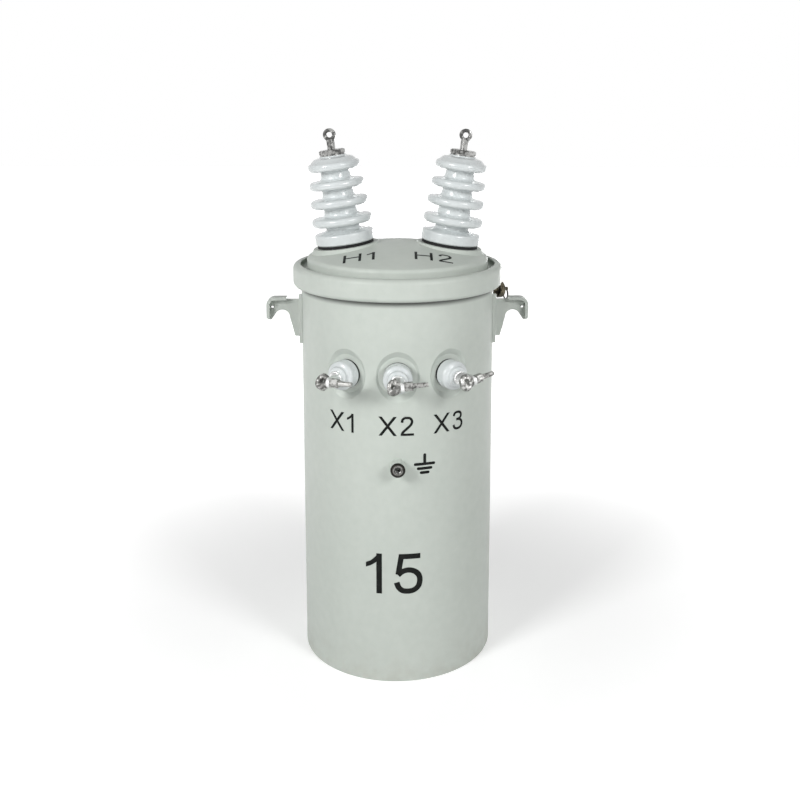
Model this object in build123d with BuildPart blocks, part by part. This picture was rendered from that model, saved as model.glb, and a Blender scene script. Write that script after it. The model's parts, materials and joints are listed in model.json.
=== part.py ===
"""Pole mounted distribution transformer, 15 kVA, single phase.

A round steel tank with a clamped, domed cover.  Two shed porcelain bushings
stand on tilted seats pressed into the cover, three low voltage bushings sit on
flats pressed into the tank wall, and the unit hangs from two slotted brackets.

Units are millimetres.  +Z is up, the origin is the centre of the tank's foot on
the floor, the low voltage bushings face -Y and the pole is on the +Y side.
Angles around the tank are measured from -Y, and grow towards +X.
"""
import os
from math import cos, radians, sin, sqrt, tan

from build123d import *

os.makedirs("parts", exist_ok=True)

# ---------------------------------------------------------------- tank
TANK_RADIUS = 178.0
WALL = 2.5
RIM_HEIGHT = 723.5
RIM_REACH = 10.5
RIM_SKIRT = 17.5
BEND = 2.0
BOTTOM_RECESS = 12.0
BOTTOM_PLATE = 3.0
BOTTOM_FLANGE_LIFT = 2.5
WELD_GAP = 0.2
RIM_BEND = 3.0
FOOT_EDGE_ROUND = 0.6
CUT_REACH = 10.0

# ---------------------------------------------------------------- cover
COVER_GASKET_WIDTH = 10.0
COVER_GASKET_HEIGHT = 6.0
COVER_GASKET_INSET = 1.5
COVER_SHEET = 2.5
COVER_EDGE_INSET = 0.5
COVER_EDGE_TURN = 5.3
COVER_EDGE_ROUND = 1.2
GROOVE_WIDTH = 21.0
RISER_HEIGHT = 21.0
SHOULDER_RADIUS = 8.0
DOME_RISE = 27.0

# ---------------------------------------------------------------- cover band
BAND_SHEET = 2.5
BAND_RIM_CLEARANCE = 2.0
BAND_TOP_LIP = 9.0
BAND_ROLL = 9.0
BAND_LIP_WIDTH = 14.0
BAND_LIP_ROUND = 1.0
BAND_TANK_GAP = 6.0
BAND_FOOT_ROLL = 8.0
BAND_SEAT_GAP = 2.3
BAND_SPLIT_ANGLE = 6.0
BAND_TAB_HEIGHT = 26.0
BAND_TAB_REACH = 30.0
BAND_TAB_SHEET = 4.0
BAND_TAB_CORNER = 6.0
BAND_FOOT_ANGLE = 7.0
BAND_FOOT_SINK = 0.5
BAND_BOLT_RADIUS = 5.0
BAND_BOLT_CLEARANCE = 0.5
BAND_BOLT_TAIL = 16.0
BAND_BOLT_REACH = 16.5
BAND_NUT_FLATS = 17.0
BAND_NUT_THICKNESS = 8.0
BAND_HEAD_THICKNESS = 7.0
NUT_CLEARANCE = 0.2
EYE_ROUND = 2.5

# ---------------------------------------------------------------- high voltage bushings
HV_TILT = 8.0
HV_SEAT_MARGIN = 5.5
HV_SEAT_EDGE = 11.6
HV_SEAT_FLANK = 32.0
HV_SEAT_DEPTH = 12.0
HV_SEAT_STAND = 2.0
HV_GASKET_INSET = 2.5
HV_GASKET_HEIGHT = 5.5
HV_FOOT_RADIUS = 54.2
HV_FOOT_HEIGHT = 19.0
HV_FOOT_SLOPE = 12.0
HV_FOOT_CHAMFER = 2.0
HV_FOOT_ROUND = 4.0
HV_CORE_FOOT_RADIUS = 31.5
HV_CORE_TOP_RADIUS = 26.0
HV_SHANK_RADIUS = 20.0
HV_SHANK_LENGTH = 34.0
HV_SHANK_CLEARANCE = 0.6
HV_SHEDS = 4
HV_SHED_LEAD = 22.1
HV_SHED_PITCH = 33.4
HV_SHED_FOOT_RADIUS = 55.5
HV_SHED_TOP_RADIUS = 47.2
HV_SHED_EDGE = 6.8
HV_SHED_ROUND = 6.2
HV_SHED_SLOPE = 7.5
HV_SHED_UNDERSLOPE = 4.0
HV_ROOT_ROUND = 4.5
HV_ROOT_SHARE = 0.55
HV_CROWN_RADIUS = 24.5
HV_CROWN_HEIGHT = 19.2
HV_CROWN_SLOPE = 24.0
HV_CROWN_ROUND = 1.8
HV_WASHER_INSET = 2.0
HV_WASHER_THICKNESS = 2.5
HV_NUT_FLATS = 41.0
HV_NUT_THICKNESS = 7.5
HV_NUT_BEVEL_REACH = 5.0
HV_NUT_BEVEL_DROP = 2.9
HV_STEM_RADIUS = 7.2
HV_EYE_RADIUS = 11.6
HV_EYE_HOLE = 5.0
HV_EYE_THICKNESS = 8.5
HV_EYE_HEIGHT = 27.0

# ---------------------------------------------------------------- low voltage bushings
LV_DROP = 154.5
LV_ANGLES = {"x1": -30.5, "x2": 0.0, "x3": 30.5}
LV_CLAMP_TILTS = {"x1": 3.0, "x2": 5.5, "x3": 9.0}
LV_FLAT_MARGIN = 8.5
LV_FLAT_FLANK = 60.0
LV_FLAT_SINK = 3.0
LV_FLAT_BACKING = 8.0
LV_FLAT_CUT = 12.0
LV_GASKET_INSET = 0.5
LV_GASKET_HEIGHT = 3.5
LV_DRUM_RADIUS = 25.5
LV_DRUM_LENGTH = 22.0
LV_NECK_RADIUS = 18.0
LV_SHOULDER_LENGTH = 2.0
LV_PORCELAIN_LENGTH = 32.0
LV_DRUM_ROUND = 6.0
LV_NECK_ROUND = 3.0
LV_FOOT_ROUND = 2.0
LV_SHANK_RADIUS = 15.0
LV_SHANK_LENGTH = 26.0
LV_SHANK_CLEARANCE = 0.6
LV_COLLAR_RADIUS = 12.5
LV_COLLAR_THICKNESS = 6.0
LV_COLLAR_ROUND = 2.0
LV_TONGUE_RADIUS = 12.0
LV_TONGUE_WIDTH = 18.0
LV_TONGUE_START = 5.0
LV_TONGUE_THICKNESS = 6.0
LV_TONGUE_REACH = 24.5
LV_BOLT_RADIUS = 3.8
LV_BOLT_CLEARANCE = 0.4
LV_BOLT_TAIL = 51.0
LV_EYE_GAP = 0.8
LV_EYE_RADIUS = 10.8
LV_EYE_HOLE = 5.6
LV_EYE_THICKNESS = 10.0
LV_EYE_ROLL = 38.0
LV_NUT_FLATS = 14.0
LV_NUT_THICKNESS = 11.5
LV_SADDLE_RADIUS = 8.0
LV_SADDLE_THICKNESS = 3.0

# ---------------------------------------------------------------- lifting lugs
LUG_DROP = 53.0
LUG_SHEET = 6.0
LUG_REACH = 65.0
LUG_HEIGHT = 70.3
LUG_ROOT_WIDTH = 14.0
LUG_BEAM = 20.0
LUG_THROAT_RADIUS = 14.0
LUG_THROAT_OPENING = 30.0
LUG_TIP_WIDTH = 14.0
LUG_TIP_END = 8.0
LUG_TIP_DROP = 38.5
LUG_TIP_ROUND = 2.5
LUG_CORNER = 12.0
LUG_RIM_SHEET = 5.8
LUG_RIM_DEPTH = 12.0
LUG_RIM_START = 28.0
LUG_RIM_END = 5.0
LUG_DRAIN_RADIUS = 2.4
LUG_DRAIN_INSET = 10.0
LUG_DRAIN_DROP = 15.0
LUG_FOOT_SHEET = 5.5
LUG_FOOT_REACH = 35.0
LUG_FOOT_FLARE_TOP = 16.5
LUG_FOOT_FLARE_LOW = 6.0

# ---------------------------------------------------------------- pole hangers
HANGER_DROP = 131.5
HANGER_SPACING = 285.75
HANGER_STAND = 62.0
HANGER_WIDTH = 104.0
HANGER_FACE_HEIGHT = 74.0
HANGER_ROOT_HEIGHT = 112.0
HANGER_SHEET = 5.0
HANGER_BEND = 8.0
HANGER_SLOT_WIDTH = 20.6
HANGER_SLOT_LENGTH = 36.0

# ---------------------------------------------------------------- ground boss
GROUND_DROP = 159.0
GROUND_RADIUS = 13.0
GROUND_LENGTH = 24.0
GROUND_BORE_RADIUS = 6.35
GROUND_BORE_DEPTH = 18.0
GROUND_CHAMFER = 1.2

# ---------------------------------------------------------------- pressure relief valve
RELIEF_ANGLE = 110.0
RELIEF_DROP = 48.5
RELIEF_SPIGOT_RADIUS = 10.0
RELIEF_SPIGOT_CLEARANCE = 0.3
RELIEF_SPIGOT_LENGTH = 14.0
RELIEF_HEX_FLATS = 30.0
RELIEF_HEX_LENGTH = 13.0
RELIEF_BARREL_RADIUS = 13.0
RELIEF_BARREL_LENGTH = 12.0
RELIEF_CAP_RADIUS = 16.5
RELIEF_CAP_LENGTH = 15.0
RELIEF_CAP_ROUND = 7.5
RELIEF_STEM_RADIUS = 3.5
RELIEF_STEM_LENGTH = 9.0
RELIEF_HOLE_INSET = 4.0
RELIEF_RING_RADIUS = 10.0
RELIEF_RING_WIRE = 1.5
RELIEF_RING_CLEARANCE = 0.7

# ---------------------------------------------------------------- levels and fits that pieces share
rim_radius = TANK_RADIUS + RIM_REACH
cover_radius = rim_radius - COVER_EDGE_INSET
riser_radius = cover_radius - GROOVE_WIDTH
gasket_top = RIM_HEIGHT + COVER_GASKET_HEIGHT
cover_floor = gasket_top + COVER_SHEET
dome_edge = cover_floor + RISER_HEIGHT
web_inside = rim_radius + BAND_RIM_CLEARANCE
band_radius = web_inside + BAND_SHEET
band_top = cover_floor + BAND_TOP_LIP
band_bottom = RIM_HEIGHT - RIM_SKIRT - BAND_SEAT_GAP - BAND_SHEET
hv_seat_radius = HV_FOOT_RADIUS + HV_SEAT_MARGIN
hv_spread = riser_radius - hv_seat_radius - HV_SEAT_EDGE
lv_height = RIM_HEIGHT - LV_DROP
lv_flat_radius = LV_DRUM_RADIUS + LV_FLAT_MARGIN
lv_flat_distance = sqrt(TANK_RADIUS**2 - lv_flat_radius**2) - LV_FLAT_SINK


def radial_plane(angle, distance, height):
    """Plane facing away from the tank: local X runs round it, local Y is up."""
    turn = radians(angle)
    outward = Vector(sin(turn), -cos(turn), 0)
    around = Vector(cos(turn), sin(turn), 0)
    return Plane(origin=outward * distance + Vector(0, 0, height), x_dir=around, z_dir=outward)


def section_plane(seat):
    """Plane through a seat's axis for turned pieces: local X is radius, local Y height."""
    return Plane(origin=seat.origin, x_dir=seat.x_dir, z_dir=-seat.y_dir)


def seat_axis(seat):
    """Axis that turned pieces on a seat revolve about."""
    return Axis(seat.origin, seat.z_dir)


def corner(sketch, x, y):
    """The vertex of a sketch nearest to a point of its own plane."""
    return sketch.vertices().sort_by_distance((x, y, 0))[0]


def dome_height(radius):
    """Height of the cover's top surface at a distance from the tank's axis."""
    return dome_edge + DOME_RISE * (1 - (radius / riser_radius) ** 2)


lv_flats = {
    name: radial_plane(angle, lv_flat_distance, lv_height) for name, angle in LV_ANGLES.items()
}
ground_height = lv_height - GROUND_DROP
ground_plane = radial_plane(0, TANK_RADIUS, ground_height)
relief_plane = radial_plane(RELIEF_ANGLE, TANK_RADIUS, RIM_HEIGHT - RELIEF_DROP)

# ================================================================ tank
# Sheet behind the flats that are pressed into the wall, trimmed to the tank's round.
flank_growth = tan(radians(LV_FLAT_FLANK))
with BuildPart() as flat_backings:
    for flat in lv_flats.values():
        with BuildSketch(flat.offset(-WALL)):
            Circle(lv_flat_radius + WALL * flank_growth / 2)
        extrude(amount=WALL + LV_FLAT_BACKING, taper=-LV_FLAT_FLANK)
    with BuildSketch(Plane.XY):
        Circle(TANK_RADIUS)
    extrude(amount=RIM_HEIGHT, mode=Mode.INTERSECT)

with BuildPart() as tank_wall:
    with BuildSketch(Plane.XZ) as wall_section:
        with BuildLine():
            Polyline(
                (TANK_RADIUS - WALL, 0),
                (TANK_RADIUS, 0),
                (TANK_RADIUS, RIM_HEIGHT - WALL),
                (rim_radius - WALL, RIM_HEIGHT - WALL),
                (rim_radius - WALL, RIM_HEIGHT - RIM_SKIRT),
                (rim_radius, RIM_HEIGHT - RIM_SKIRT),
                (rim_radius, RIM_HEIGHT),
                (TANK_RADIUS - WALL, RIM_HEIGHT),
                close=True,
            )
        make_face()
        fillet(corner(wall_section, TANK_RADIUS, RIM_HEIGHT - WALL), BEND)
        fillet(corner(wall_section, rim_radius, RIM_HEIGHT), RIM_BEND)
        fillet(corner(wall_section, TANK_RADIUS, 0), FOOT_EDGE_ROUND)
    revolve(axis=Axis.Z)
    add(flat_backings.part)
    for flat in lv_flats.values():
        with BuildSketch(flat):
            Circle(lv_flat_radius)
        extrude(amount=LV_FLAT_CUT, taper=-LV_FLAT_FLANK, mode=Mode.SUBTRACT)
        with BuildSketch(flat):
            Circle(LV_SHANK_RADIUS + LV_SHANK_CLEARANCE)
        extrude(amount=CUT_REACH, both=True, mode=Mode.SUBTRACT)
    with BuildSketch(relief_plane):
        Circle(RELIEF_SPIGOT_RADIUS + RELIEF_SPIGOT_CLEARANCE)
    extrude(amount=CUT_REACH, both=True, mode=Mode.SUBTRACT)
tank_wall.part.label = "tank_wall"
export_step(tank_wall.part, "parts/tank_wall.step")

# The bottom is a pressed pan, set up inside the wall, with its edge turned down.
pan_radius = TANK_RADIUS - WALL - WELD_GAP
with BuildPart() as tank_bottom:
    with BuildSketch(Plane.XZ) as pan_section:
        with BuildLine():
            Polyline(
                (0, BOTTOM_RECESS),
                (pan_radius - BOTTOM_PLATE, BOTTOM_RECESS),
                (pan_radius - BOTTOM_PLATE, BOTTOM_FLANGE_LIFT),
                (pan_radius, BOTTOM_FLANGE_LIFT),
                (pan_radius, BOTTOM_RECESS + BOTTOM_PLATE),
                (0, BOTTOM_RECESS + BOTTOM_PLATE),
                close=True,
            )
        make_face()
        fillet(corner(pan_section, pan_radius, BOTTOM_RECESS + BOTTOM_PLATE), BOTTOM_PLATE + BEND)
        fillet(corner(pan_section, pan_radius - BOTTOM_PLATE, BOTTOM_RECESS), BEND)
    revolve(axis=Axis.Z)
tank_bottom.part.label = "tank_bottom"
export_step(tank_bottom.part, "parts/tank_bottom.step")

with BuildPart() as ground_boss:
    with BuildSketch(ground_plane.offset(-WALL)):
        Circle(GROUND_RADIUS)
    extrude(amount=WALL + GROUND_LENGTH)
    chamfer(ground_boss.edges().sort_by(Axis.Y)[0], GROUND_CHAMFER)
    with Locations(ground_plane.offset(GROUND_LENGTH)):
        Hole(GROUND_BORE_RADIUS, depth=GROUND_BORE_DEPTH)
    with Locations((0, 0, ground_height)):
        Cylinder(TANK_RADIUS, 2 * (GROUND_RADIUS + CUT_REACH), mode=Mode.SUBTRACT)
ground_boss.part.label = "ground_boss"
export_step(ground_boss.part, "parts/ground_boss.step")

# ================================================================ cover and its band
with BuildPart() as cover_gasket:
    with BuildSketch(Plane.XY.offset(RIM_HEIGHT)):
        Circle(cover_radius - COVER_GASKET_INSET)
        Circle(cover_radius - COVER_GASKET_INSET - COVER_GASKET_WIDTH, mode=Mode.SUBTRACT)
    extrude(amount=COVER_GASKET_HEIGHT)
cover_gasket.part.label = "cover_gasket"
export_step(cover_gasket.part, "parts/cover_gasket.step")


def hv_seat_plane(side):
    """Top of a tilted bushing seat on the cover; side is -1 for H1 and +1 for H2."""
    tilt = radians(HV_TILT)
    height = dome_height(hv_spread) + HV_SEAT_STAND
    return Plane(
        origin=(side * hv_spread, 0, height),
        x_dir=(cos(tilt), 0, -side * sin(tilt)),
        z_dir=(side * sin(tilt), 0, cos(tilt)),
    )


hv_seats = {"h1": hv_seat_plane(-1), "h2": hv_seat_plane(1)}


def cover_form(inset):
    """Solid under the pressed sheet's surface, drawn in by inset on every side."""
    edge_radius = riser_radius - inset
    edge_height = dome_edge - inset
    apex = (0, dome_height(0) - inset)
    midway = (edge_radius / 2, dome_height(riser_radius / 2) - inset)
    with BuildPart() as form:
        with BuildSketch(Plane.XZ) as form_section:
            with BuildLine():
                ThreePointArc(apex, midway, (edge_radius, edge_height))
                Polyline((edge_radius, edge_height), (edge_radius, gasket_top), (0, gasket_top), apex)
            make_face()
            fillet(corner(form_section, edge_radius, edge_height), SHOULDER_RADIUS - inset)
        revolve(axis=Axis.Z)
        for seat in hv_seats.values():
            with BuildSketch(seat.offset(-inset)):
                Circle(hv_seat_radius - inset * tan(radians(45 - HV_SEAT_FLANK / 2)))
            extrude(amount=-HV_SEAT_DEPTH, taper=-HV_SEAT_FLANK)
    return form.part


cover_outside = cover_form(0)
cover_inside = cover_form(COVER_SHEET)
with BuildPart() as cover:
    add(cover_outside)
    with BuildSketch(Plane.XY.offset(gasket_top)):
        Circle(cover_radius)
    extrude(amount=COVER_SHEET)
    # The sheet's edge turns up inside the band, which draws it down on the gasket.
    with BuildSketch(Plane.XZ) as edge_section:
        with Locations((cover_radius - COVER_SHEET, gasket_top)):
            Rectangle(COVER_SHEET, COVER_SHEET + COVER_EDGE_TURN, align=(Align.MIN, Align.MIN))
        fillet(edge_section.vertices().group_by(Axis.Z)[-1], COVER_EDGE_ROUND)
    revolve(axis=Axis.Z)
    add(cover_inside, mode=Mode.SUBTRACT)
    for seat in hv_seats.values():
        with BuildSketch(seat):
            Circle(HV_SHANK_RADIUS + HV_SHANK_CLEARANCE)
        extrude(amount=CUT_REACH, both=True, mode=Mode.SUBTRACT)
cover.part.label = "cover"
export_step(cover.part, "parts/cover.step")

# The band is a rolled channel that draws the cover's turned edge down on the tank's rim.
# It is split at the back, where a bolt draws its two tabs together.
lip_inside = band_radius - BAND_LIP_WIDTH
band_middle = (band_top + band_bottom) / 2
tab_face = band_radius * sin(radians(BAND_SPLIT_ANGLE / 2))
bolt_distance = band_radius + BAND_BOLT_REACH
bolt_plane = Plane(origin=(0, bolt_distance, band_middle), x_dir=(0, 1, 0), z_dir=(1, 0, 0))


def upright_plane(turn):
    """Upright plane through the tank's axis, turned from +X towards the pole side."""
    angle = radians(turn)
    return Plane(origin=(0, 0, 0), x_dir=(cos(angle), sin(angle), 0), z_dir=(sin(angle), -cos(angle), 0))


with BuildPart() as cover_band:
    with BuildSketch(upright_plane(90 + BAND_SPLIT_ANGLE / 2)) as band_section:
        with BuildLine():
            Polyline(
                (TANK_RADIUS + BAND_TANK_GAP, band_bottom),
                (band_radius, band_bottom),
                (band_radius, band_top),
                (lip_inside, band_top),
                (lip_inside, band_top - BAND_SHEET),
                (web_inside, band_top - BAND_SHEET),
                (web_inside, band_bottom + BAND_SHEET),
                (TANK_RADIUS + BAND_TANK_GAP, band_bottom + BAND_SHEET),
                close=True,
            )
        make_face()
        fillet(corner(band_section, band_radius, band_top), BAND_ROLL)
        fillet(corner(band_section, web_inside, band_top - BAND_SHEET), BAND_ROLL - BAND_SHEET)
        fillet(corner(band_section, lip_inside, band_top), BAND_LIP_ROUND)
        fillet(corner(band_section, band_radius, band_bottom), BAND_FOOT_ROLL)
        fillet(corner(band_section, web_inside, band_bottom + BAND_SHEET), BAND_FOOT_ROLL - BAND_SHEET)
    revolve(axis=Axis.Z, revolution_arc=360 - BAND_SPLIT_ANGLE)
    foot_turns = (90 + BAND_SPLIT_ANGLE / 2, 90 - BAND_SPLIT_ANGLE / 2 - BAND_FOOT_ANGLE)
    for side, foot_turn in zip((-1, 1), foot_turns):
        with BuildSketch(upright_plane(foot_turn)):
            with Locations((band_radius + BAND_TAB_SHEET / 2 - BAND_FOOT_SINK, band_middle)):
                Rectangle(BAND_TAB_SHEET, BAND_TAB_HEIGHT)
        revolve(axis=Axis.Z, revolution_arc=BAND_FOOT_ANGLE)
        with BuildSketch(bolt_plane.offset(side * tab_face)) as tab:
            with Locations((band_radius - BAND_SHEET / 2 - bolt_distance, 0)):
                Rectangle(BAND_TAB_REACH, BAND_TAB_HEIGHT, align=(Align.MIN, Align.CENTER))
            fillet(tab.vertices().group_by(Axis.X)[-1], BAND_TAB_CORNER)
            Circle(BAND_BOLT_RADIUS + BAND_BOLT_CLEARANCE, mode=Mode.SUBTRACT)
        extrude(amount=side * BAND_TAB_SHEET)
cover_band.part.label = "cover_band"
export_step(cover_band.part, "parts/cover_band.step")

tab_back = tab_face + BAND_TAB_SHEET
with BuildPart() as band_bolt:
    with BuildSketch(bolt_plane.offset(tab_back)):
        RegularPolygon(BAND_NUT_FLATS / 2, 6, major_radius=False)
    extrude(amount=BAND_HEAD_THICKNESS)
    with BuildSketch(bolt_plane.offset(tab_back)):
        Circle(BAND_BOLT_RADIUS)
    extrude(amount=-(2 * tab_back + BAND_NUT_THICKNESS + BAND_BOLT_TAIL))
band_bolt.part.label = "band_bolt"
export_step(band_bolt.part, "parts/band_bolt.step")

with BuildPart() as band_nut:
    with BuildSketch(bolt_plane.offset(-tab_back)):
        RegularPolygon(BAND_NUT_FLATS / 2, 6, major_radius=False)
        Circle(BAND_BOLT_RADIUS + NUT_CLEARANCE, mode=Mode.SUBTRACT)
    extrude(amount=-BAND_NUT_THICKNESS)
band_nut.part.label = "band_nut"
export_step(band_nut.part, "parts/band_nut.step")

# ================================================================ high voltage bushings
foot_top = HV_GASKET_HEIGHT + HV_FOOT_HEIGHT
first_shed = foot_top + HV_SHED_LEAD
shed_levels = [first_shed + index * HV_SHED_PITCH for index in range(HV_SHEDS)]
last_shed = shed_levels[-1]
porcelain_top = last_shed + HV_CROWN_HEIGHT
washer_top = porcelain_top + HV_WASHER_THICKNESS
nut_top = washer_top + HV_NUT_THICKNESS
bevel_radius = HV_NUT_FLATS / 2 + HV_NUT_BEVEL_REACH
hv_eye_middle = (HV_EYE_RADIUS + HV_EYE_HOLE) / 2
over_slope = tan(radians(HV_SHED_SLOPE))
under_slope = tan(radians(HV_SHED_UNDERSLOPE))
foot_rise = (HV_FOOT_RADIUS - HV_CORE_FOOT_RADIUS) * tan(radians(HV_FOOT_SLOPE))
crown_rise = (HV_SHED_TOP_RADIUS - HV_CROWN_RADIUS) * tan(radians(HV_CROWN_SLOPE))
first_under = (HV_SHED_FOOT_RADIUS - HV_CORE_FOOT_RADIUS) * under_slope
first_core = HV_SHED_LEAD - foot_rise - HV_SHED_EDGE - first_under
root_round = min(HV_ROOT_ROUND, first_core * HV_ROOT_SHARE)


def tapered(foot_radius, top_radius, height):
    """Radius at a height over the seat, tapering from the first shed to the last."""
    share = (height - first_shed) / (last_shed - first_shed)
    return foot_radius + (top_radius - foot_radius) * share


# Every shed is a disc with a round edge, thickest at the core that shows between the sheds.
shed_edges = []
core_roots = [(HV_CORE_FOOT_RADIUS, foot_top + foot_rise)]
outline_points = [
    (0, -HV_SHANK_LENGTH),
    (HV_SHANK_RADIUS, -HV_SHANK_LENGTH),
    (HV_SHANK_RADIUS, HV_GASKET_HEIGHT),
    (HV_FOOT_RADIUS - HV_FOOT_CHAMFER, HV_GASKET_HEIGHT),
    (HV_FOOT_RADIUS, HV_GASKET_HEIGHT + HV_FOOT_CHAMFER),
    (HV_FOOT_RADIUS, foot_top),
    core_roots[0],
]
for level in shed_levels:
    edge = tapered(HV_SHED_FOOT_RADIUS, HV_SHED_TOP_RADIUS, level)
    core = tapered(HV_CORE_FOOT_RADIUS, HV_CORE_TOP_RADIUS, level)
    lower_root = (core, level - HV_SHED_EDGE - (edge - core) * under_slope)
    upper_root = (core, level + HV_SHED_EDGE + (edge - core) * over_slope)
    edges = [(edge, level - HV_SHED_EDGE), (edge, level + HV_SHED_EDGE)]
    shed_edges += edges
    core_roots.append(lower_root)
    outline_points += [lower_root, *edges]
    if level != last_shed:
        core_roots.append(upper_root)
        outline_points.append(upper_root)
outline_points += [
    (HV_CROWN_RADIUS, last_shed + HV_SHED_EDGE + crown_rise),
    (HV_CROWN_RADIUS, porcelain_top),
    (0, porcelain_top),
]

for name, seat in hv_seats.items():
    with BuildPart() as gasket:
        with BuildSketch(seat):
            Circle(HV_FOOT_RADIUS - HV_GASKET_INSET)
            Circle(HV_SHANK_RADIUS + HV_SHANK_CLEARANCE, mode=Mode.SUBTRACT)
        extrude(amount=HV_GASKET_HEIGHT)
    gasket.part.label = f"{name}_gasket"
    export_step(gasket.part, f"parts/{name}_gasket.step")

    with BuildPart() as porcelain:
        with BuildSketch(section_plane(seat)) as outline:
            with BuildLine():
                Polyline(*outline_points, close=True)
            make_face()
            for x, y in shed_edges:
                fillet(corner(outline, x, y), HV_SHED_ROUND)
            for x, y in core_roots:
                fillet(corner(outline, x, y), root_round)
            fillet(corner(outline, HV_FOOT_RADIUS, foot_top), HV_FOOT_ROUND)
            fillet(corner(outline, HV_CROWN_RADIUS, porcelain_top), HV_CROWN_ROUND)
        revolve(axis=seat_axis(seat))
    porcelain.part.label = f"{name}_porcelain"
    export_step(porcelain.part, f"parts/{name}_porcelain.step")

    with BuildPart() as washer:
        with BuildSketch(seat.offset(porcelain_top)):
            Circle(HV_CROWN_RADIUS - HV_WASHER_INSET)
        extrude(amount=HV_WASHER_THICKNESS)
    washer.part.label = f"{name}_washer"
    export_step(washer.part, f"parts/{name}_washer.step")

    with BuildPart() as nut:
        with BuildSketch(seat.offset(washer_top)):
            RegularPolygon(HV_NUT_FLATS / 2, 6, major_radius=False)
        extrude(amount=HV_NUT_THICKNESS)
        with BuildSketch(section_plane(seat)):
            with BuildLine():
                Polyline(
                    (0, washer_top),
                    (bevel_radius, washer_top),
                    (bevel_radius, nut_top - HV_NUT_BEVEL_DROP),
                    (HV_NUT_FLATS / 2, nut_top),
                    (0, nut_top),
                    close=True,
                )
            make_face()
        revolve(axis=seat_axis(seat), mode=Mode.INTERSECT)
    nut.part.label = f"{name}_nut"
    export_step(nut.part, f"parts/{name}_nut.step")

    eye_height = nut_top + HV_EYE_HEIGHT
    eye_plane = section_plane(seat.offset(eye_height))
    with BuildPart() as eye:
        with BuildSketch(seat.offset(nut_top)):
            Circle(HV_STEM_RADIUS)
        extrude(amount=HV_EYE_HEIGHT - hv_eye_middle)
        with BuildSketch(Plane(origin=eye_plane.origin, x_dir=eye_plane.x_dir, z_dir=eye_plane.y_dir)):
            with Locations((hv_eye_middle, 0)):
                RectangleRounded(HV_EYE_RADIUS - HV_EYE_HOLE, HV_EYE_THICKNESS, EYE_ROUND)
        revolve(axis=Axis(eye_plane.origin, eye_plane.z_dir))
    eye.part.label = f"{name}_eye_stud"
    export_step(eye.part, f"parts/{name}_eye_stud.step")

# ================================================================ low voltage bushings
neck_end = LV_GASKET_HEIGHT + LV_PORCELAIN_LENGTH
collar_end = neck_end + LV_COLLAR_THICKNESS
clamp_distance = collar_end + LV_TONGUE_REACH
tongue_end = LV_TONGUE_START + LV_TONGUE_THICKNESS
eye_distance = LV_EYE_RADIUS + LV_EYE_GAP - LV_TONGUE_START
eye_middle = (LV_EYE_RADIUS + LV_EYE_HOLE) / 2


def clamp_plane(flat, tilt):
    """Plane where a stud's eyebolt crosses it: local X runs along the bolt, local Z outward."""
    turn = radians(tilt)
    along = flat.x_dir * cos(turn) + flat.y_dir * sin(turn)
    return Plane(origin=flat.offset(clamp_distance).origin, x_dir=along, z_dir=flat.z_dir)


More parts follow.
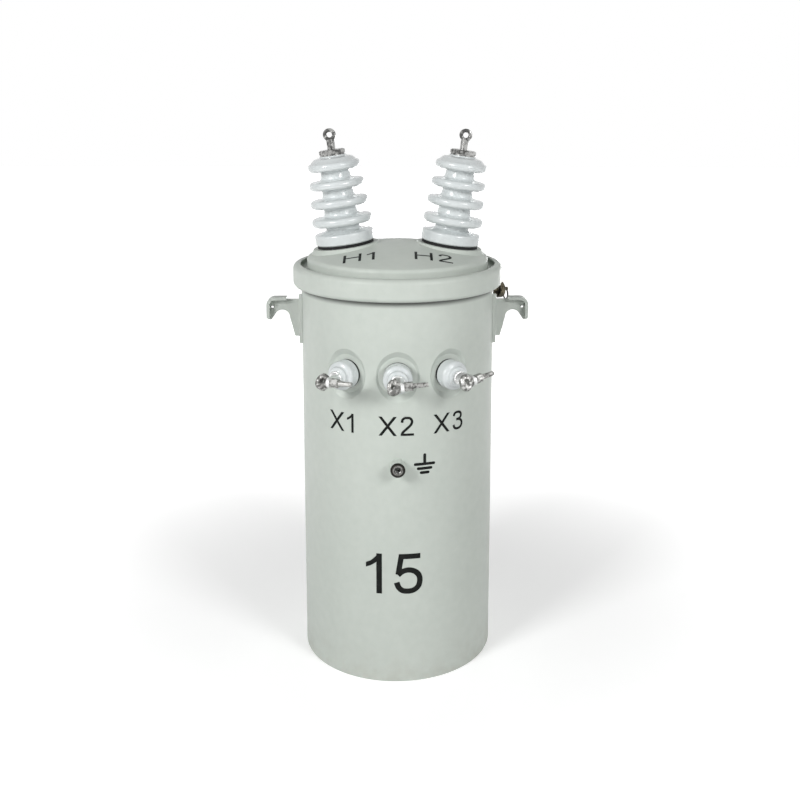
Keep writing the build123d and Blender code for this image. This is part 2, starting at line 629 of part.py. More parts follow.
for name, flat in lv_flats.items():
    with BuildPart() as gasket:
        with BuildSketch(flat):
            Circle(LV_DRUM_RADIUS - LV_GASKET_INSET)
            Circle(LV_SHANK_RADIUS + LV_SHANK_CLEARANCE, mode=Mode.SUBTRACT)
        extrude(amount=LV_GASKET_HEIGHT)
    gasket.part.label = f"{name}_gasket"
    export_step(gasket.part, f"parts/{name}_gasket.step")

    drum_end = LV_GASKET_HEIGHT + LV_DRUM_LENGTH
    with BuildPart() as porcelain:
        with BuildSketch(section_plane(flat)) as outline:
            with BuildLine():
                Polyline(
                    (0, -LV_SHANK_LENGTH),
                    (LV_SHANK_RADIUS, -LV_SHANK_LENGTH),
                    (LV_SHANK_RADIUS, LV_GASKET_HEIGHT),
                    (LV_DRUM_RADIUS, LV_GASKET_HEIGHT),
                    (LV_DRUM_RADIUS, drum_end),
                    (LV_NECK_RADIUS, drum_end + LV_SHOULDER_LENGTH),
                    (LV_NECK_RADIUS, neck_end),
                    (0, neck_end),
                    close=True,
                )
            make_face()
            fillet(corner(outline, LV_DRUM_RADIUS, drum_end), LV_DRUM_ROUND)
            fillet(corner(outline, LV_NECK_RADIUS, drum_end + LV_SHOULDER_LENGTH), LV_NECK_ROUND)
            fillet(corner(outline, LV_NECK_RADIUS, neck_end), LV_NECK_ROUND)
            fillet(corner(outline, LV_DRUM_RADIUS, LV_GASKET_HEIGHT), LV_FOOT_ROUND)
        revolve(axis=seat_axis(flat))
    porcelain.part.label = f"{name}_porcelain"
    export_step(porcelain.part, f"parts/{name}_porcelain.step")

    clamp = clamp_plane(flat, LV_CLAMP_TILTS[name])
    across = Plane(origin=clamp.origin, x_dir=clamp.z_dir, z_dir=clamp.x_dir)
    # The stud's turned end is milled to a tongue beside its axis, which leaves room for the eye.
    with BuildPart() as tongue:
        with BuildSketch(across.offset(LV_TONGUE_START)):
            Circle(LV_TONGUE_WIDTH / 2)
            Rectangle(
                LV_TONGUE_REACH + LV_COLLAR_THICKNESS / 2,
                LV_TONGUE_WIDTH,
                align=(Align.MAX, Align.CENTER),
            )
            Circle(LV_BOLT_RADIUS + LV_BOLT_CLEARANCE, mode=Mode.SUBTRACT)
        extrude(amount=LV_TONGUE_THICKNESS)
        with BuildSketch(flat):
            Circle(LV_TONGUE_RADIUS)
        extrude(amount=clamp_distance + LV_TONGUE_WIDTH, mode=Mode.INTERSECT)
    with BuildPart() as stud:
        with BuildSketch(flat.offset(neck_end)):
            Circle(LV_COLLAR_RADIUS)
        extrude(amount=LV_COLLAR_THICKNESS)
        fillet(stud.edges().sort_by(seat_axis(flat))[-1], LV_COLLAR_ROUND)
        add(tongue.part)
    stud.part.label = f"{name}_stud"
    export_step(stud.part, f"parts/{name}_stud.step")

    # The eyebolt's ring takes the service wire, and its nut draws the wire to the stud.
    roll = radians(LV_EYE_ROLL)
    eye_normal = clamp.z_dir * cos(roll) + clamp.y_dir * sin(roll)
    eye_side = clamp.x_dir.cross(eye_normal)
    eye_centre = clamp.origin - clamp.x_dir * eye_distance
    with BuildPart() as eyebolt:
        with BuildSketch(across.offset(eye_middle - eye_distance)):
            Circle(LV_BOLT_RADIUS)
        extrude(amount=eye_distance - eye_middle + LV_BOLT_TAIL)
        with BuildSketch(Plane(origin=eye_centre, x_dir=clamp.x_dir, z_dir=eye_side)):
            with Locations((eye_middle, 0)):
                RectangleRounded(LV_EYE_RADIUS - LV_EYE_HOLE, LV_EYE_THICKNESS, EYE_ROUND)
        revolve(axis=Axis(eye_centre, eye_normal))
    eyebolt.part.label = f"{name}_eyebolt"
    export_step(eyebolt.part, f"parts/{name}_eyebolt.step")

    with BuildPart() as clamp_nut:
        with BuildSketch(across.offset(tongue_end)):
            Circle(LV_SADDLE_RADIUS)
            Circle(LV_BOLT_RADIUS + NUT_CLEARANCE, mode=Mode.SUBTRACT)
        extrude(amount=LV_SADDLE_THICKNESS)
        with BuildSketch(across.offset(tongue_end + LV_SADDLE_THICKNESS)):
            RegularPolygon(LV_NUT_FLATS / 2, 6, major_radius=False)
            Circle(LV_BOLT_RADIUS + NUT_CLEARANCE, mode=Mode.SUBTRACT)
        extrude(amount=LV_NUT_THICKNESS)
    clamp_nut.part.label = f"{name}_nut"
    export_step(clamp_nut.part, f"parts/{name}_nut.step")

# ================================================================ lifting lugs
lug_outside = TANK_RADIUS + LUG_REACH
lug_inside = TANK_RADIUS + WELD_GAP
throat_tip = lug_outside - LUG_TIP_WIDTH
throat_middle = throat_tip - LUG_THROAT_RADIUS
lug_top = RIM_HEIGHT - LUG_DROP
lug_bottom = lug_top - LUG_HEIGHT
tip_bottom = lug_top - LUG_TIP_DROP
throat_top = lug_top - LUG_BEAM
throat_height = throat_top - LUG_THROAT_RADIUS
opening = radians(LUG_THROAT_OPENING)
throat_mouth = (
    throat_middle + LUG_THROAT_RADIUS * cos(opening),
    throat_height + LUG_THROAT_RADIUS * sin(opening),
)
root_outside = TANK_RADIUS + LUG_ROOT_WIDTH
for name, side in (("lifting_lug_left", -1), ("lifting_lug_right", 1)):
    lug_plane = Plane(origin=(0, 0, 0), x_dir=(side, 0, 0), z_dir=(0, -side, 0))
    with BuildPart() as lug_foot:
        with BuildSketch(Plane.XY.offset(lug_bottom - LUG_FOOT_FLARE_LOW)):
            Circle(lug_inside + LUG_FOOT_SHEET)
            Circle(lug_inside, mode=Mode.SUBTRACT)
        extrude(amount=LUG_HEIGHT + LUG_FOOT_FLARE_TOP + LUG_FOOT_FLARE_LOW)
        with BuildSketch(Plane.YZ):
            with BuildLine():
                Polyline(
                    (LUG_SHEET / 2, lug_bottom),
                    (LUG_SHEET / 2, lug_top),
                    (-LUG_SHEET / 2, lug_top),
                    (-LUG_FOOT_REACH, lug_top + LUG_FOOT_FLARE_TOP),
                    (-LUG_FOOT_REACH, lug_bottom - LUG_FOOT_FLARE_LOW),
                    (-LUG_SHEET / 2, lug_bottom),
                    close=True,
                )
            make_face()
        extrude(amount=side * lug_outside, mode=Mode.INTERSECT)
    with BuildPart() as lug:
        with BuildSketch(lug_plane) as hook:
            with BuildLine():
                Polyline(
                    (lug_inside + LUG_FOOT_SHEET / 2, lug_bottom),
                    (root_outside, lug_bottom),
                    (throat_middle - LUG_THROAT_RADIUS, throat_height),
                )
                ThreePointArc(
                    (throat_middle - LUG_THROAT_RADIUS, throat_height),
                    (throat_middle, throat_top),
                    throat_mouth,
                )
                Polyline(
                    throat_mouth,
                    (lug_outside - LUG_TIP_END, tip_bottom),
                    (lug_outside, tip_bottom),
                    (lug_outside, lug_top),
                    (lug_inside + LUG_FOOT_SHEET / 2, lug_top),
                    (lug_inside + LUG_FOOT_SHEET / 2, lug_bottom),
                )
            make_face()
            fillet(corner(hook, lug_outside, lug_top), LUG_CORNER)
            fillet(corner(hook, root_outside, lug_bottom), LUG_TIP_ROUND)
            fillet(corner(hook, lug_outside, tip_bottom), LUG_TIP_ROUND)
            with Locations((lug_outside - LUG_DRAIN_INSET, lug_top - LUG_DRAIN_DROP)):
                Circle(LUG_DRAIN_RADIUS, mode=Mode.SUBTRACT)
        extrude(amount=LUG_SHEET / 2, both=True)
        # A rim turned towards the front stiffens the hook's top and outer side.
        with BuildSketch(Plane.XZ.offset(-LUG_SHEET / 2)):
            with BuildLine() as rim_line:
                rim_inset = LUG_RIM_SHEET / 2
                FilletPolyline(
                    (side * (TANK_RADIUS + LUG_RIM_START), lug_top + rim_inset),
                    (side * (lug_outside - rim_inset), lug_top + rim_inset),
                    (side * (lug_outside - rim_inset), tip_bottom + LUG_RIM_END),
                    radius=LUG_CORNER,
                )
            trace(line_width=LUG_RIM_SHEET)
        extrude(amount=LUG_SHEET + LUG_RIM_DEPTH)
        add(lug_foot.part)
    lug.part.label = name
    export_step(lug.part, f"parts/{name}.step")

# ================================================================ pole hangers
hanger_face = TANK_RADIUS + HANGER_STAND
for name, drop in (("hanger_upper", 0), ("hanger_lower", HANGER_SPACING)):
    level = RIM_HEIGHT - HANGER_DROP - drop
    with BuildPart() as hanger:
        with BuildSketch(Plane.XY.offset(level - HANGER_ROOT_HEIGHT / 2)) as channel:
            with Locations((0, hanger_face)):
                Rectangle(HANGER_WIDTH, hanger_face, align=(Align.CENTER, Align.MAX))
            fillet(channel.vertices().group_by(Axis.Y)[-1], HANGER_BEND)
            with Locations((0, hanger_face - HANGER_SHEET)):
                Rectangle(
                    HANGER_WIDTH - 2 * HANGER_SHEET,
                    hanger_face,
                    align=(Align.CENTER, Align.MAX),
                    mode=Mode.SUBTRACT,
                )
        extrude(amount=HANGER_ROOT_HEIGHT)
        with BuildSketch(Plane.YZ):
            with BuildLine():
                Polyline(
                    (0, level - HANGER_ROOT_HEIGHT / 2),
                    (TANK_RADIUS, level - HANGER_ROOT_HEIGHT / 2),
                    (hanger_face, level - HANGER_FACE_HEIGHT / 2),
                    (hanger_face, level + HANGER_FACE_HEIGHT / 2),
                    (TANK_RADIUS, level + HANGER_ROOT_HEIGHT / 2),
                    (0, level + HANGER_ROOT_HEIGHT / 2),
                    close=True,
                )
            make_face()
        extrude(amount=HANGER_WIDTH, both=True, mode=Mode.INTERSECT)
        with BuildSketch(Plane.XZ.offset(-hanger_face)):
            with Locations((0, level)):
                SlotOverall(HANGER_SLOT_LENGTH, HANGER_SLOT_WIDTH, rotation=90)
        extrude(amount=HANGER_SHEET + CUT_REACH, mode=Mode.SUBTRACT)
        with Locations((0, 0, level)):
            Cylinder(TANK_RADIUS + WELD_GAP, HANGER_ROOT_HEIGHT + CUT_REACH, mode=Mode.SUBTRACT)
    hanger.part.label = name
    export_step(hanger.part, f"parts/{name}.step")

# ================================================================ pressure relief valve
barrel_end = RELIEF_HEX_LENGTH + RELIEF_BARREL_LENGTH
cap_end = barrel_end + RELIEF_CAP_LENGTH
stem_end = cap_end + RELIEF_STEM_LENGTH
ring_hole = relief_plane.offset(stem_end - RELIEF_HOLE_INSET).origin
with BuildPart() as relief_body:
    with BuildSketch(relief_plane.offset(-RELIEF_SPIGOT_LENGTH)):
        Circle(RELIEF_SPIGOT_RADIUS)
    extrude(amount=RELIEF_SPIGOT_LENGTH)
    with BuildSketch(relief_plane):
        RegularPolygon(RELIEF_HEX_FLATS / 2, 6, major_radius=False)
    extrude(amount=RELIEF_HEX_LENGTH)
    with BuildSketch(relief_plane.offset(RELIEF_HEX_LENGTH)):
        Circle(RELIEF_BARREL_RADIUS)
    extrude(amount=RELIEF_BARREL_LENGTH)
relief_body.part.label = "relief_valve_body"
export_step(relief_body.part, "parts/relief_valve_body.step")

with BuildPart() as relief_cap:
    with BuildSketch(section_plane(relief_plane)) as cap_outline:
        with BuildLine():
            Polyline(
                (0, barrel_end),
                (RELIEF_CAP_RADIUS, barrel_end),
                (RELIEF_CAP_RADIUS, cap_end),
                (RELIEF_STEM_RADIUS, cap_end),
                (RELIEF_STEM_RADIUS, stem_end),
                (0, stem_end),
                close=True,
            )
        make_face()
        fillet(corner(cap_outline, RELIEF_CAP_RADIUS, cap_end), RELIEF_CAP_ROUND)
    revolve(axis=seat_axis(relief_plane))
    with BuildSketch(Plane(origin=ring_hole, x_dir=relief_plane.y_dir, z_dir=relief_plane.x_dir)):
        Circle(RELIEF_RING_WIRE + RELIEF_RING_CLEARANCE)
    extrude(amount=RELIEF_STEM_RADIUS + CUT_REACH, both=True, mode=Mode.SUBTRACT)
relief_cap.part.label = "relief_valve_cap"
export_step(relief_cap.part, "parts/relief_valve_cap.step")

# The pull ring hangs from the stem, flat against the cap's end.
ring_centre = ring_hole - relief_plane.y_dir * RELIEF_RING_RADIUS
with BuildPart() as relief_ring:
    with BuildSketch(Plane(origin=ring_centre, x_dir=relief_plane.y_dir, z_dir=relief_plane.x_dir)):
        with Locations((RELIEF_RING_RADIUS, 0)):
            Circle(RELIEF_RING_WIRE)
    revolve(axis=Axis(ring_centre, relief_plane.z_dir))
relief_ring.part.label = "relief_valve_ring"
export_step(relief_ring.part, "parts/relief_valve_ring.step")
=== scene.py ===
"""Pole mounted distribution transformer: finishes, markings and small hardware.

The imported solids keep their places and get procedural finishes.  The shed
porcelains and the terminal eyebolts are made anew in their packed places, and
screw threads, weld beads and painted markings are added.  Lengths are metres
and angles are degrees, +Z is up, and the low voltage bushings face -Y.
"""

import json
import logging
import math
from dataclasses import dataclass
from enum import Enum
from typing import Callable, Dict, List, Optional, Sequence, Tuple

import bmesh
import bpy
from bpy.types import Material, Mesh, Node, NodeSocket, NodeTree, Object
from mathutils import Matrix, Vector, noise
from mathutils.bvhtree import BVHTree
from mathutils.geometry import delaunay_2d_cdt


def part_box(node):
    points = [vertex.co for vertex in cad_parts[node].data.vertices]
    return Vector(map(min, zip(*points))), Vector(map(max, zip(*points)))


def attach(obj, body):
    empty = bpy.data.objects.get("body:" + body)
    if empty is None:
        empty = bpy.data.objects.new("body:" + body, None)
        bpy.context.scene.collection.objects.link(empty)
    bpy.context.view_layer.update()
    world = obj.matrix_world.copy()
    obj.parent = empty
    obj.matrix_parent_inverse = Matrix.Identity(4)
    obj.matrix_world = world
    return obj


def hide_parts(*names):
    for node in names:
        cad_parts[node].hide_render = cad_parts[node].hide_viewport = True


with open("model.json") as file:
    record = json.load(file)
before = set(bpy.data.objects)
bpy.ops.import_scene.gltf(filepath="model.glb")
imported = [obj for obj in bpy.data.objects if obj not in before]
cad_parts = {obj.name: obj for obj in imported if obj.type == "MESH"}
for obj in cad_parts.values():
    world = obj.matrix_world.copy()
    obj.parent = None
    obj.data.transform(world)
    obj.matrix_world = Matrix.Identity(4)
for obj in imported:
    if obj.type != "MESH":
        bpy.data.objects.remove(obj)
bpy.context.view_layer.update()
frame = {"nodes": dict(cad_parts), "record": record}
LOG = logging.getLogger("transformer")

Point2 = Tuple[float, float]
Point3 = Tuple[float, float, float]
Color = Tuple[float, float, float, float]
# Scale and detail of a noise, then its low and high result or a bump's strength and depth.
Drift = Tuple[float, float, float, float]
Bump = Tuple[float, float, float, float]
WHITE: Color = (1.0, 1.0, 1.0, 1.0)
MM = 0.001
MERGE = 1e-6
SHARP_ANGLE = 38.0
LV_SIDES = ("x1", "x2", "x3")


class Slot(Enum):
    """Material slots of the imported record."""

    PAINT = "tank_paint"
    PORCELAIN = "porcelain"
    RUBBER = "nitrile"
    TINNED = "tinned_bronze"
    ZINC = "zinc_steel"
    BRASS = "brass"


class Surface(Enum):
    """Ways in which a flat marking is laid on the object."""

    WALL = "wall"
    COVER = "cover"


# ---------------- node trees
class NodeSheet:
    """A node tree with short calls to add and join its nodes."""

    def __init__(self, tree: NodeTree) -> None:
        """Keeps the tree."""
        self.tree = tree

    def feed(self, value: object, target: NodeSocket) -> None:
        """Joins a socket to an input, or sets the input to a value.

        Args:
            value: A socket or a value.
            target: The input.
        """
        if isinstance(value, NodeSocket):
            self.tree.links.new(value, target)
        else:
            target.default_value = value

    def add(
        self, kind: str, inputs: Optional[Dict[object, object]] = None, **values: object
    ) -> Node:
        """Adds a node, sets its attributes, and joins or sets its inputs.

        Args:
            kind: Blender's node type.
            inputs: A socket or a value for each input, by name or number.
            values: Attributes of the node.

        Returns:
            The new node.
        """
        node = self.tree.nodes.new(kind)
        for name, value in values.items():
            setattr(node, name, value)
        for name, value in (inputs or {}).items():
            self.feed(value, node.inputs[name])
        return node

    def put(self, *node: object, **values: object) -> NodeSocket:
        """Adds a node and gives its first output."""
        return self.add(*node, **values).outputs[0]

    def axes(self, vector: NodeSocket) -> bpy.types.NodeOutputs:
        """The X, Y and Z of a vector."""
        return self.add("ShaderNodeSeparateXYZ", {"Vector": vector}).outputs

    def noise(
        self, vector: NodeSocket, scale: object, detail: float = 3.0, rough: float = 0.5
    ) -> NodeSocket:
        """A noise between 0 and 1; its scale is a number per metre or a socket."""
        inputs = {"Vector": vector, "Scale": scale, "Detail": detail, "Roughness": rough}
        return self.add("ShaderNodeTexNoise", inputs).outputs["Fac"]

    def math(
        self, operation: str, first: object, second: object = 0.0, clamp: bool = False
    ) -> NodeSocket:
        """The result of Blender's operation of that name on two sockets or numbers."""
        inputs = {0: first, 1: second}
        return self.put("ShaderNodeMath", inputs, operation=operation, use_clamp=clamp)

    def plus(self, first: object, second: object, clamp: bool = False) -> NodeSocket:
        """The sum of two sockets or numbers."""
        return self.math("ADD", first, second, clamp)

    def minus(self, first: object, second: object, clamp: bool = False) -> NodeSocket:
        """The first socket or number without the second."""
        return self.math("SUBTRACT", first, second, clamp)

    def times(self, first: object, second: object) -> NodeSocket:
        """The product of two sockets or numbers."""
        return self.math("MULTIPLY", first, second)

    def span(
        self, value: NodeSocket, low: float, high: float, to_low: float = 0.0, to_high: float = 1.0
    ) -> NodeSocket:
        """Maps a value smoothly from one span to another.

        Args:
            value: The socket to map.
            low: Value that gives to_low.
            high: Value that gives to_high.
            to_low: Result at the low end.
            to_high: Result at the high end.

        Returns:
            The mapped value, kept within its span.
        """
        ends = {"From Min": low, "From Max": high, "To Min": to_low, "To Max": to_high}
        inputs = {"Value": value, **ends}
        return self.put("ShaderNodeMapRange", inputs, interpolation_type="SMOOTHSTEP")

    def blend(self, mask: NodeSocket, first: object, second: object) -> NodeSocket:
        """Mixes two colours by a mask.

        Args:
            mask: 0 gives the first colour and 1 the second.
            first: A socket or a colour.
            second: A socket or a colour.

        Returns:
            The mixed colour.
        """
        node = self.add("ShaderNodeMix", {"Factor": mask}, data_type="RGBA")
        ends = [socket for socket in node.inputs if socket.type == "RGBA"]
        for value, target in zip((first, second), ends):
            self.feed(value, target)
        return [socket for socket in node.outputs if socket.type == "RGBA"][0]

    def seen(self) -> NodeSocket:
        """A mask of the camera's own rays, the glossy ones and those through glass.

        Returns:
            The mask.
        """
        rays = self.add("ShaderNodeLightPath").outputs
        direct = self.math("MAXIMUM", rays["Is Camera Ray"], rays["Is Glossy Ray"])
        return self.math("MAXIMUM", direct, rays["Is Transmission Ray"])


class GroupSheet(NodeSheet):
    """A node group with named inputs and one output."""

    def __init__(
        self, name: str, family: str, inputs: Dict[str, object], output: Tuple[str, str]
    ) -> None:
        """Makes the group's sockets.

        Args:
            name: The group's name.
            family: Shader or Geometry.
            inputs: A usual value for each number, or the socket type of anything else.
            output: Name and socket type of the output.
        """
        super().__init__(bpy.data.node_groups.new(name, f"{family}NodeTree"))
        face = self.tree.interface
        for label, value in inputs.items():
            plain = isinstance(value, str)
            kind = value if plain else type(value).__name__.capitalize()
            socket = face.new_socket(label, in_out="INPUT", socket_type=f"NodeSocket{kind}")
            if not plain:
                socket.default_value = value
        face.new_socket(output[0], in_out="OUTPUT", socket_type=f"NodeSocket{output[1]}")
        self.given = self.add("NodeGroupInput").outputs
        self.out = self.add("NodeGroupOutput").inputs[0]

    def end(self, result: NodeSocket) -> NodeTree:
        """Joins the result to the group's output and gives the group."""
        self.feed(result, self.out)
        return self.tree


class SharedEffects:
    """Shader groups that several finishes use."""

    def __init__(self) -> None:
        """Builds each group once."""
        self.tone = self._tone_drift()
        self.dust = self._settled_dust()
        self.grain = self._cast_grain()

    def _tone_drift(self) -> NodeTree:
        """Slow change of tone over a coat, and a finer mottle.

        Returns:
            A group that puts out a mask around one half.
        """
        inputs = {"Vector": "Vector", "Broad Scale": 6.0, "Fine Scale": 60.0, "Amount": 0.5}
        sheet = GroupSheet("tone_drift", "Shader", inputs, ("Mask", "Float"))
        spot = sheet.given["Vector"]
        broad = sheet.noise(spot, sheet.given["Broad Scale"], detail=2.0)
        fine = sheet.noise(spot, sheet.given["Fine Scale"], detail=4.0)
        centred = sheet.minus(sheet.plus(broad, fine), 1.0)
        scaled = sheet.times(centred, sheet.given["Amount"])
        return sheet.end(sheet.plus(scaled, 0.5, clamp=True))

    def _settled_dust(self) -> NodeTree:
        """Dust that lies on upward faces and creeps up from the foot.

        Returns:
            A group that puts out a mask of dust.
        """
        inputs = {"Vector": "Vector", "Normal": "Vector", "Top": 0.3, "Foot": 0.3}
        inputs["Foot Height"] = 0.12
        sheet = GroupSheet("settled_dust", "Shader", inputs, ("Mask", "Float"))
        given = sheet.given
        patch = sheet.noise(given["Vector"], scale=38.0, detail=5.0, rough=0.62)
        level = sheet.span(sheet.axes(given["Normal"])["Z"], low=0.35, high=0.95)
        top = sheet.times(sheet.times(level, patch), given["Top"])
        height = sheet.math("DIVIDE", sheet.axes(given["Vector"])["Z"], given["Foot Height"])
        faded = sheet.math("POWER", sheet.minus(1.0, height, clamp=True), 2.0)
        spread = sheet.times(faded, sheet.span(patch, low=0.3, high=0.75))
        foot = sheet.times(spread, given["Foot"])
        return sheet.end(sheet.plus(top, foot, clamp=True))

    def _cast_grain(self) -> NodeTree:
        """Fine pits and soft waves of a cast or forged skin.

        Returns:
            A group that puts out a height.
        """
        inputs = {"Vector": "Vector", "Scale": 900.0, "Wave Scale": 120.0}
        sheet = GroupSheet("cast_grain", "Shader", inputs, ("Height", "Float"))
        spot = sheet.given["Vector"]
        pits = sheet.noise(spot, sheet.given["Scale"], detail=5.0, rough=0.7)
        waves = sheet.noise(spot, sheet.given["Wave Scale"], detail=2.0)
        wave_share = 1.6
        return sheet.end(sheet.plus(pits, sheet.times(waves, wave_share)))


class PaintSheet(NodeSheet):
    """A material's tree, with its Principled shader and the piece's own coordinates."""

    USUAL: Point2 = (0.3, 0.7)

    def __init__(self, name: str, effects: Optional[SharedEffects] = None) -> None:
        """Makes the material.

        Args:
            name: The material's name.
            effects: The shared shader groups, if it uses any.
        """
        self.material = bpy.data.materials.new(name)
        self.material.use_nodes = True
        super().__init__(self.material.node_tree)
        self.tree.nodes.clear()
        self.effects = effects
        self.shader = self.add("ShaderNodeBsdfPrincipled")
        self.add("ShaderNodeOutputMaterial", {"Surface": self.shader.outputs[0]})
        self.spot = self.add("ShaderNodeTexCoord").outputs["Object"]

    def patch(self, scale: float, detail: float = 3.0) -> NodeSocket:
        """A noise over the piece."""
        return self.noise(self.spot, scale, detail)

    def smear(self, scale: float, detail: float, low: float, high: float) -> NodeSocket:
        """A slow change over the piece between two values."""
        return self.span(self.patch(scale, detail), *self.USUAL, low, high)

    def effect(self, group: NodeTree, inputs: Dict[str, object]) -> NodeSocket:
        """Places a shared group over the piece and gives its output."""
        spot = {"Vector": self.spot}
        return self.put("ShaderNodeGroup", {**spot, **inputs}, node_tree=group)

    def tone(self, broad: float, fine: float, amount: float) -> NodeSocket:
        """The mask of the shared slow change of tone."""
        inputs = {"Broad Scale": broad, "Fine Scale": fine, "Amount": amount}
        return self.effect(self.effects.tone, inputs)

    def grain(self, scale: float, wave_scale: float) -> NodeSocket:
        """The height of the shared cast skin."""
        return self.effect(self.effects.grain, {"Scale": scale, "Wave Scale": wave_scale})

    def bump(
        self, height: NodeSocket, strength: float, depth: float, under: Optional[NodeSocket] = None
    ) -> NodeSocket:
        """The normal of a bump, which may lie on the normal of another."""
        inputs = {"Height": height, "Strength": strength, "Distance": depth}
        return self.put("ShaderNodeBump", {**inputs, **({"Normal": under} if under else {})})

    def skin(self, bump: Bump, under: Optional[NodeSocket] = None) -> NodeSocket:
        """A bump of noise over the piece."""
        return self.bump(self.patch(*bump[:2]), *bump[2:], under)

    def dress(self, **inputs: object) -> None:
        """Feeds the shader's inputs, named with _ for a space."""
        for name, value in inputs.items():
            self.feed(value, self.shader.inputs[name.replace("_", " ")])


# ---------------- finishes
@dataclass(frozen=True)
class Coat:
    """A finished material and the record slot that it belongs to."""

    material: Material
    slot: Slot


@dataclass(frozen=True)
class EnamelFinish:
    """Sprayed tank enamel: even tone, orange peel, dust on top and at the foot.

    A painted shade darkens the wall close under the band. It is full from a set level up and fades
    out over a short height below that level.
    """

    name: str = "tank_enamel"
    slot: Slot = Slot.PAINT
    base: Color = (0.515, 0.560, 0.515, 1.0)
    light: Color = (0.585, 0.625, 0.580, 1.0)
    tone: Point3 = (5.0, 70.0, 0.9)
    dust: Color = (0.430, 0.420, 0.370, 1.0)
    dust_top: float = 0.10
    dust_foot: float = 0.42
    dust_height: float = 0.10
    dust_dull: float = 0.35
    roughness: float = 0.42
    smear: Drift = (26.0, 4.0, -0.04, 0.05)
    wave: Bump = (7.0, 1.0, 0.30, 0.0010)
    peel: Bump = (620.0, 2.0, 0.35, 0.00006)
    specular: float = 0.14
    gloss: Point2 = (0.06, 0.16)
    # Near-black colour of the painted shade under the band.
    primer: Color = (0.110, 0.115, 0.108, 1.0)
    lee_level: float = 10.0
    lee_height: float = 0.0100
    lee_share: float = 0.85

    def lay(self, sheet: PaintSheet) -> None:
        """Lays the finish on a material.

        Args:
            sheet: The material's sheet.
        """
        coat = sheet.blend(sheet.tone(*self.tone), self.base, self.light)
        height = sheet.axes(sheet.spot)["Z"]
        # Painted shade: the wall just under the band is darkened towards a near-black colour.
        shade_mask = sheet.span(height, self.lee_level - self.lee_height, self.lee_level)
        coat = sheet.blend(sheet.times(shade_mask, self.lee_share), coat, self.primer)
        amounts = {"Top": self.dust_top, "Foot": self.dust_foot, "Foot Height": self.dust_height}
        amounts["Normal"] = sheet.add("ShaderNodeNewGeometry").outputs["Normal"]
        dust = sheet.effect(sheet.effects.dust, amounts)
        dulled = sheet.plus(sheet.times(dust, self.dust_dull), sheet.smear(*self.smear))
        sheet.dress(
            Base_Color=sheet.blend(dust, coat, self.dust),
            Roughness=sheet.plus(dulled, self.roughness),
            Normal=sheet.skin(self.peel, sheet.skin(self.wave)),
            Specular_IOR_Level=self.specular,
            Coat_Weight=self.gloss[0],
            Coat_Roughness=self.gloss[1],
        )


@dataclass(frozen=True)
class GlazeFinish:
    """Pale grey porcelain under a clear glaze with fine specks."""

    name: str = "porcelain_glaze"
    slot: Slot = Slot.PORCELAIN
    body: Color = (0.600, 0.640, 0.645, 1.0)
    pale: Color = (0.680, 0.712, 0.712, 1.0)
    tone: Point3 = (22.0, 160.0, 1.0)
    speck: Color = (0.420, 0.420, 0.390, 1.0)
    speck_scale: float = 260.0
    speck_size: Point2 = (0.10, 0.04)
    speck_patch: Point2 = (90.0, 1.0)
    speck_spread: Point2 = (0.62, 0.70)
    speck_share: float = 0.55
    roughness: float = 0.24
    smear: Drift = (45.0, 3.0, -0.03, 0.05)
    ripple: Bump = (85.0, 2.0, 0.25, 0.0004)
    gloss: Point2 = (0.35, 0.14)

    def lay(self, sheet: PaintSheet) -> None:
        """Lays the finish on a material.

        Args:
            sheet: The material's sheet.
        """
        glaze = sheet.blend(sheet.tone(*self.tone), self.body, self.pale)
        cells = {"Vector": sheet.spot, "Scale": self.speck_scale}
        dots = sheet.span(sheet.put("ShaderNodeTexVoronoi", cells), *self.speck_size)
        chosen = sheet.span(sheet.patch(*self.speck_patch), *self.speck_spread)
        specks = sheet.times(sheet.times(dots, chosen), self.speck_share)
        sheet.dress(
            Base_Color=sheet.blend(specks, glaze, self.speck),
            Roughness=sheet.plus(sheet.smear(*self.smear), self.roughness),
            Normal=sheet.skin(self.ripple),
            Coat_Weight=self.gloss[0],
            Coat_Roughness=self.gloss[1],
        )


@dataclass(frozen=True)
class RubberFinish:
    """Moulded black rubber with a dry bloom."""

    name: str = "gasket_rubber"
    slot: Slot = Slot.RUBBER
    base: Color = (0.006, 0.006, 0.007, 1.0)
    bloom: Color = (0.018, 0.018, 0.018, 1.0)
    tone: Point3 = (40.0, 420.0, 1.3)
    roughness: Point2 = (0.55, 0.8)
    grain: Point2 = (1500.0, 300.0)
    grain_bump: Point2 = (0.3, 0.0001)
    specular: float = 0.2

    def lay(self, sheet: PaintSheet) -> None:
        """Lays the finish on a material.

        Args:
            sheet: The material's sheet.
        """
        tone = sheet.tone(*self.tone)
        sheet.dress(
            Base_Color=sheet.blend(tone, self.base, self.bloom),
            Roughness=sheet.span(tone, 0.0, 1.0, *self.roughness),
            Normal=sheet.bump(sheet.grain(*self.grain), *self.grain_bump),
            Specular_IOR_Level=self.specular,
        )


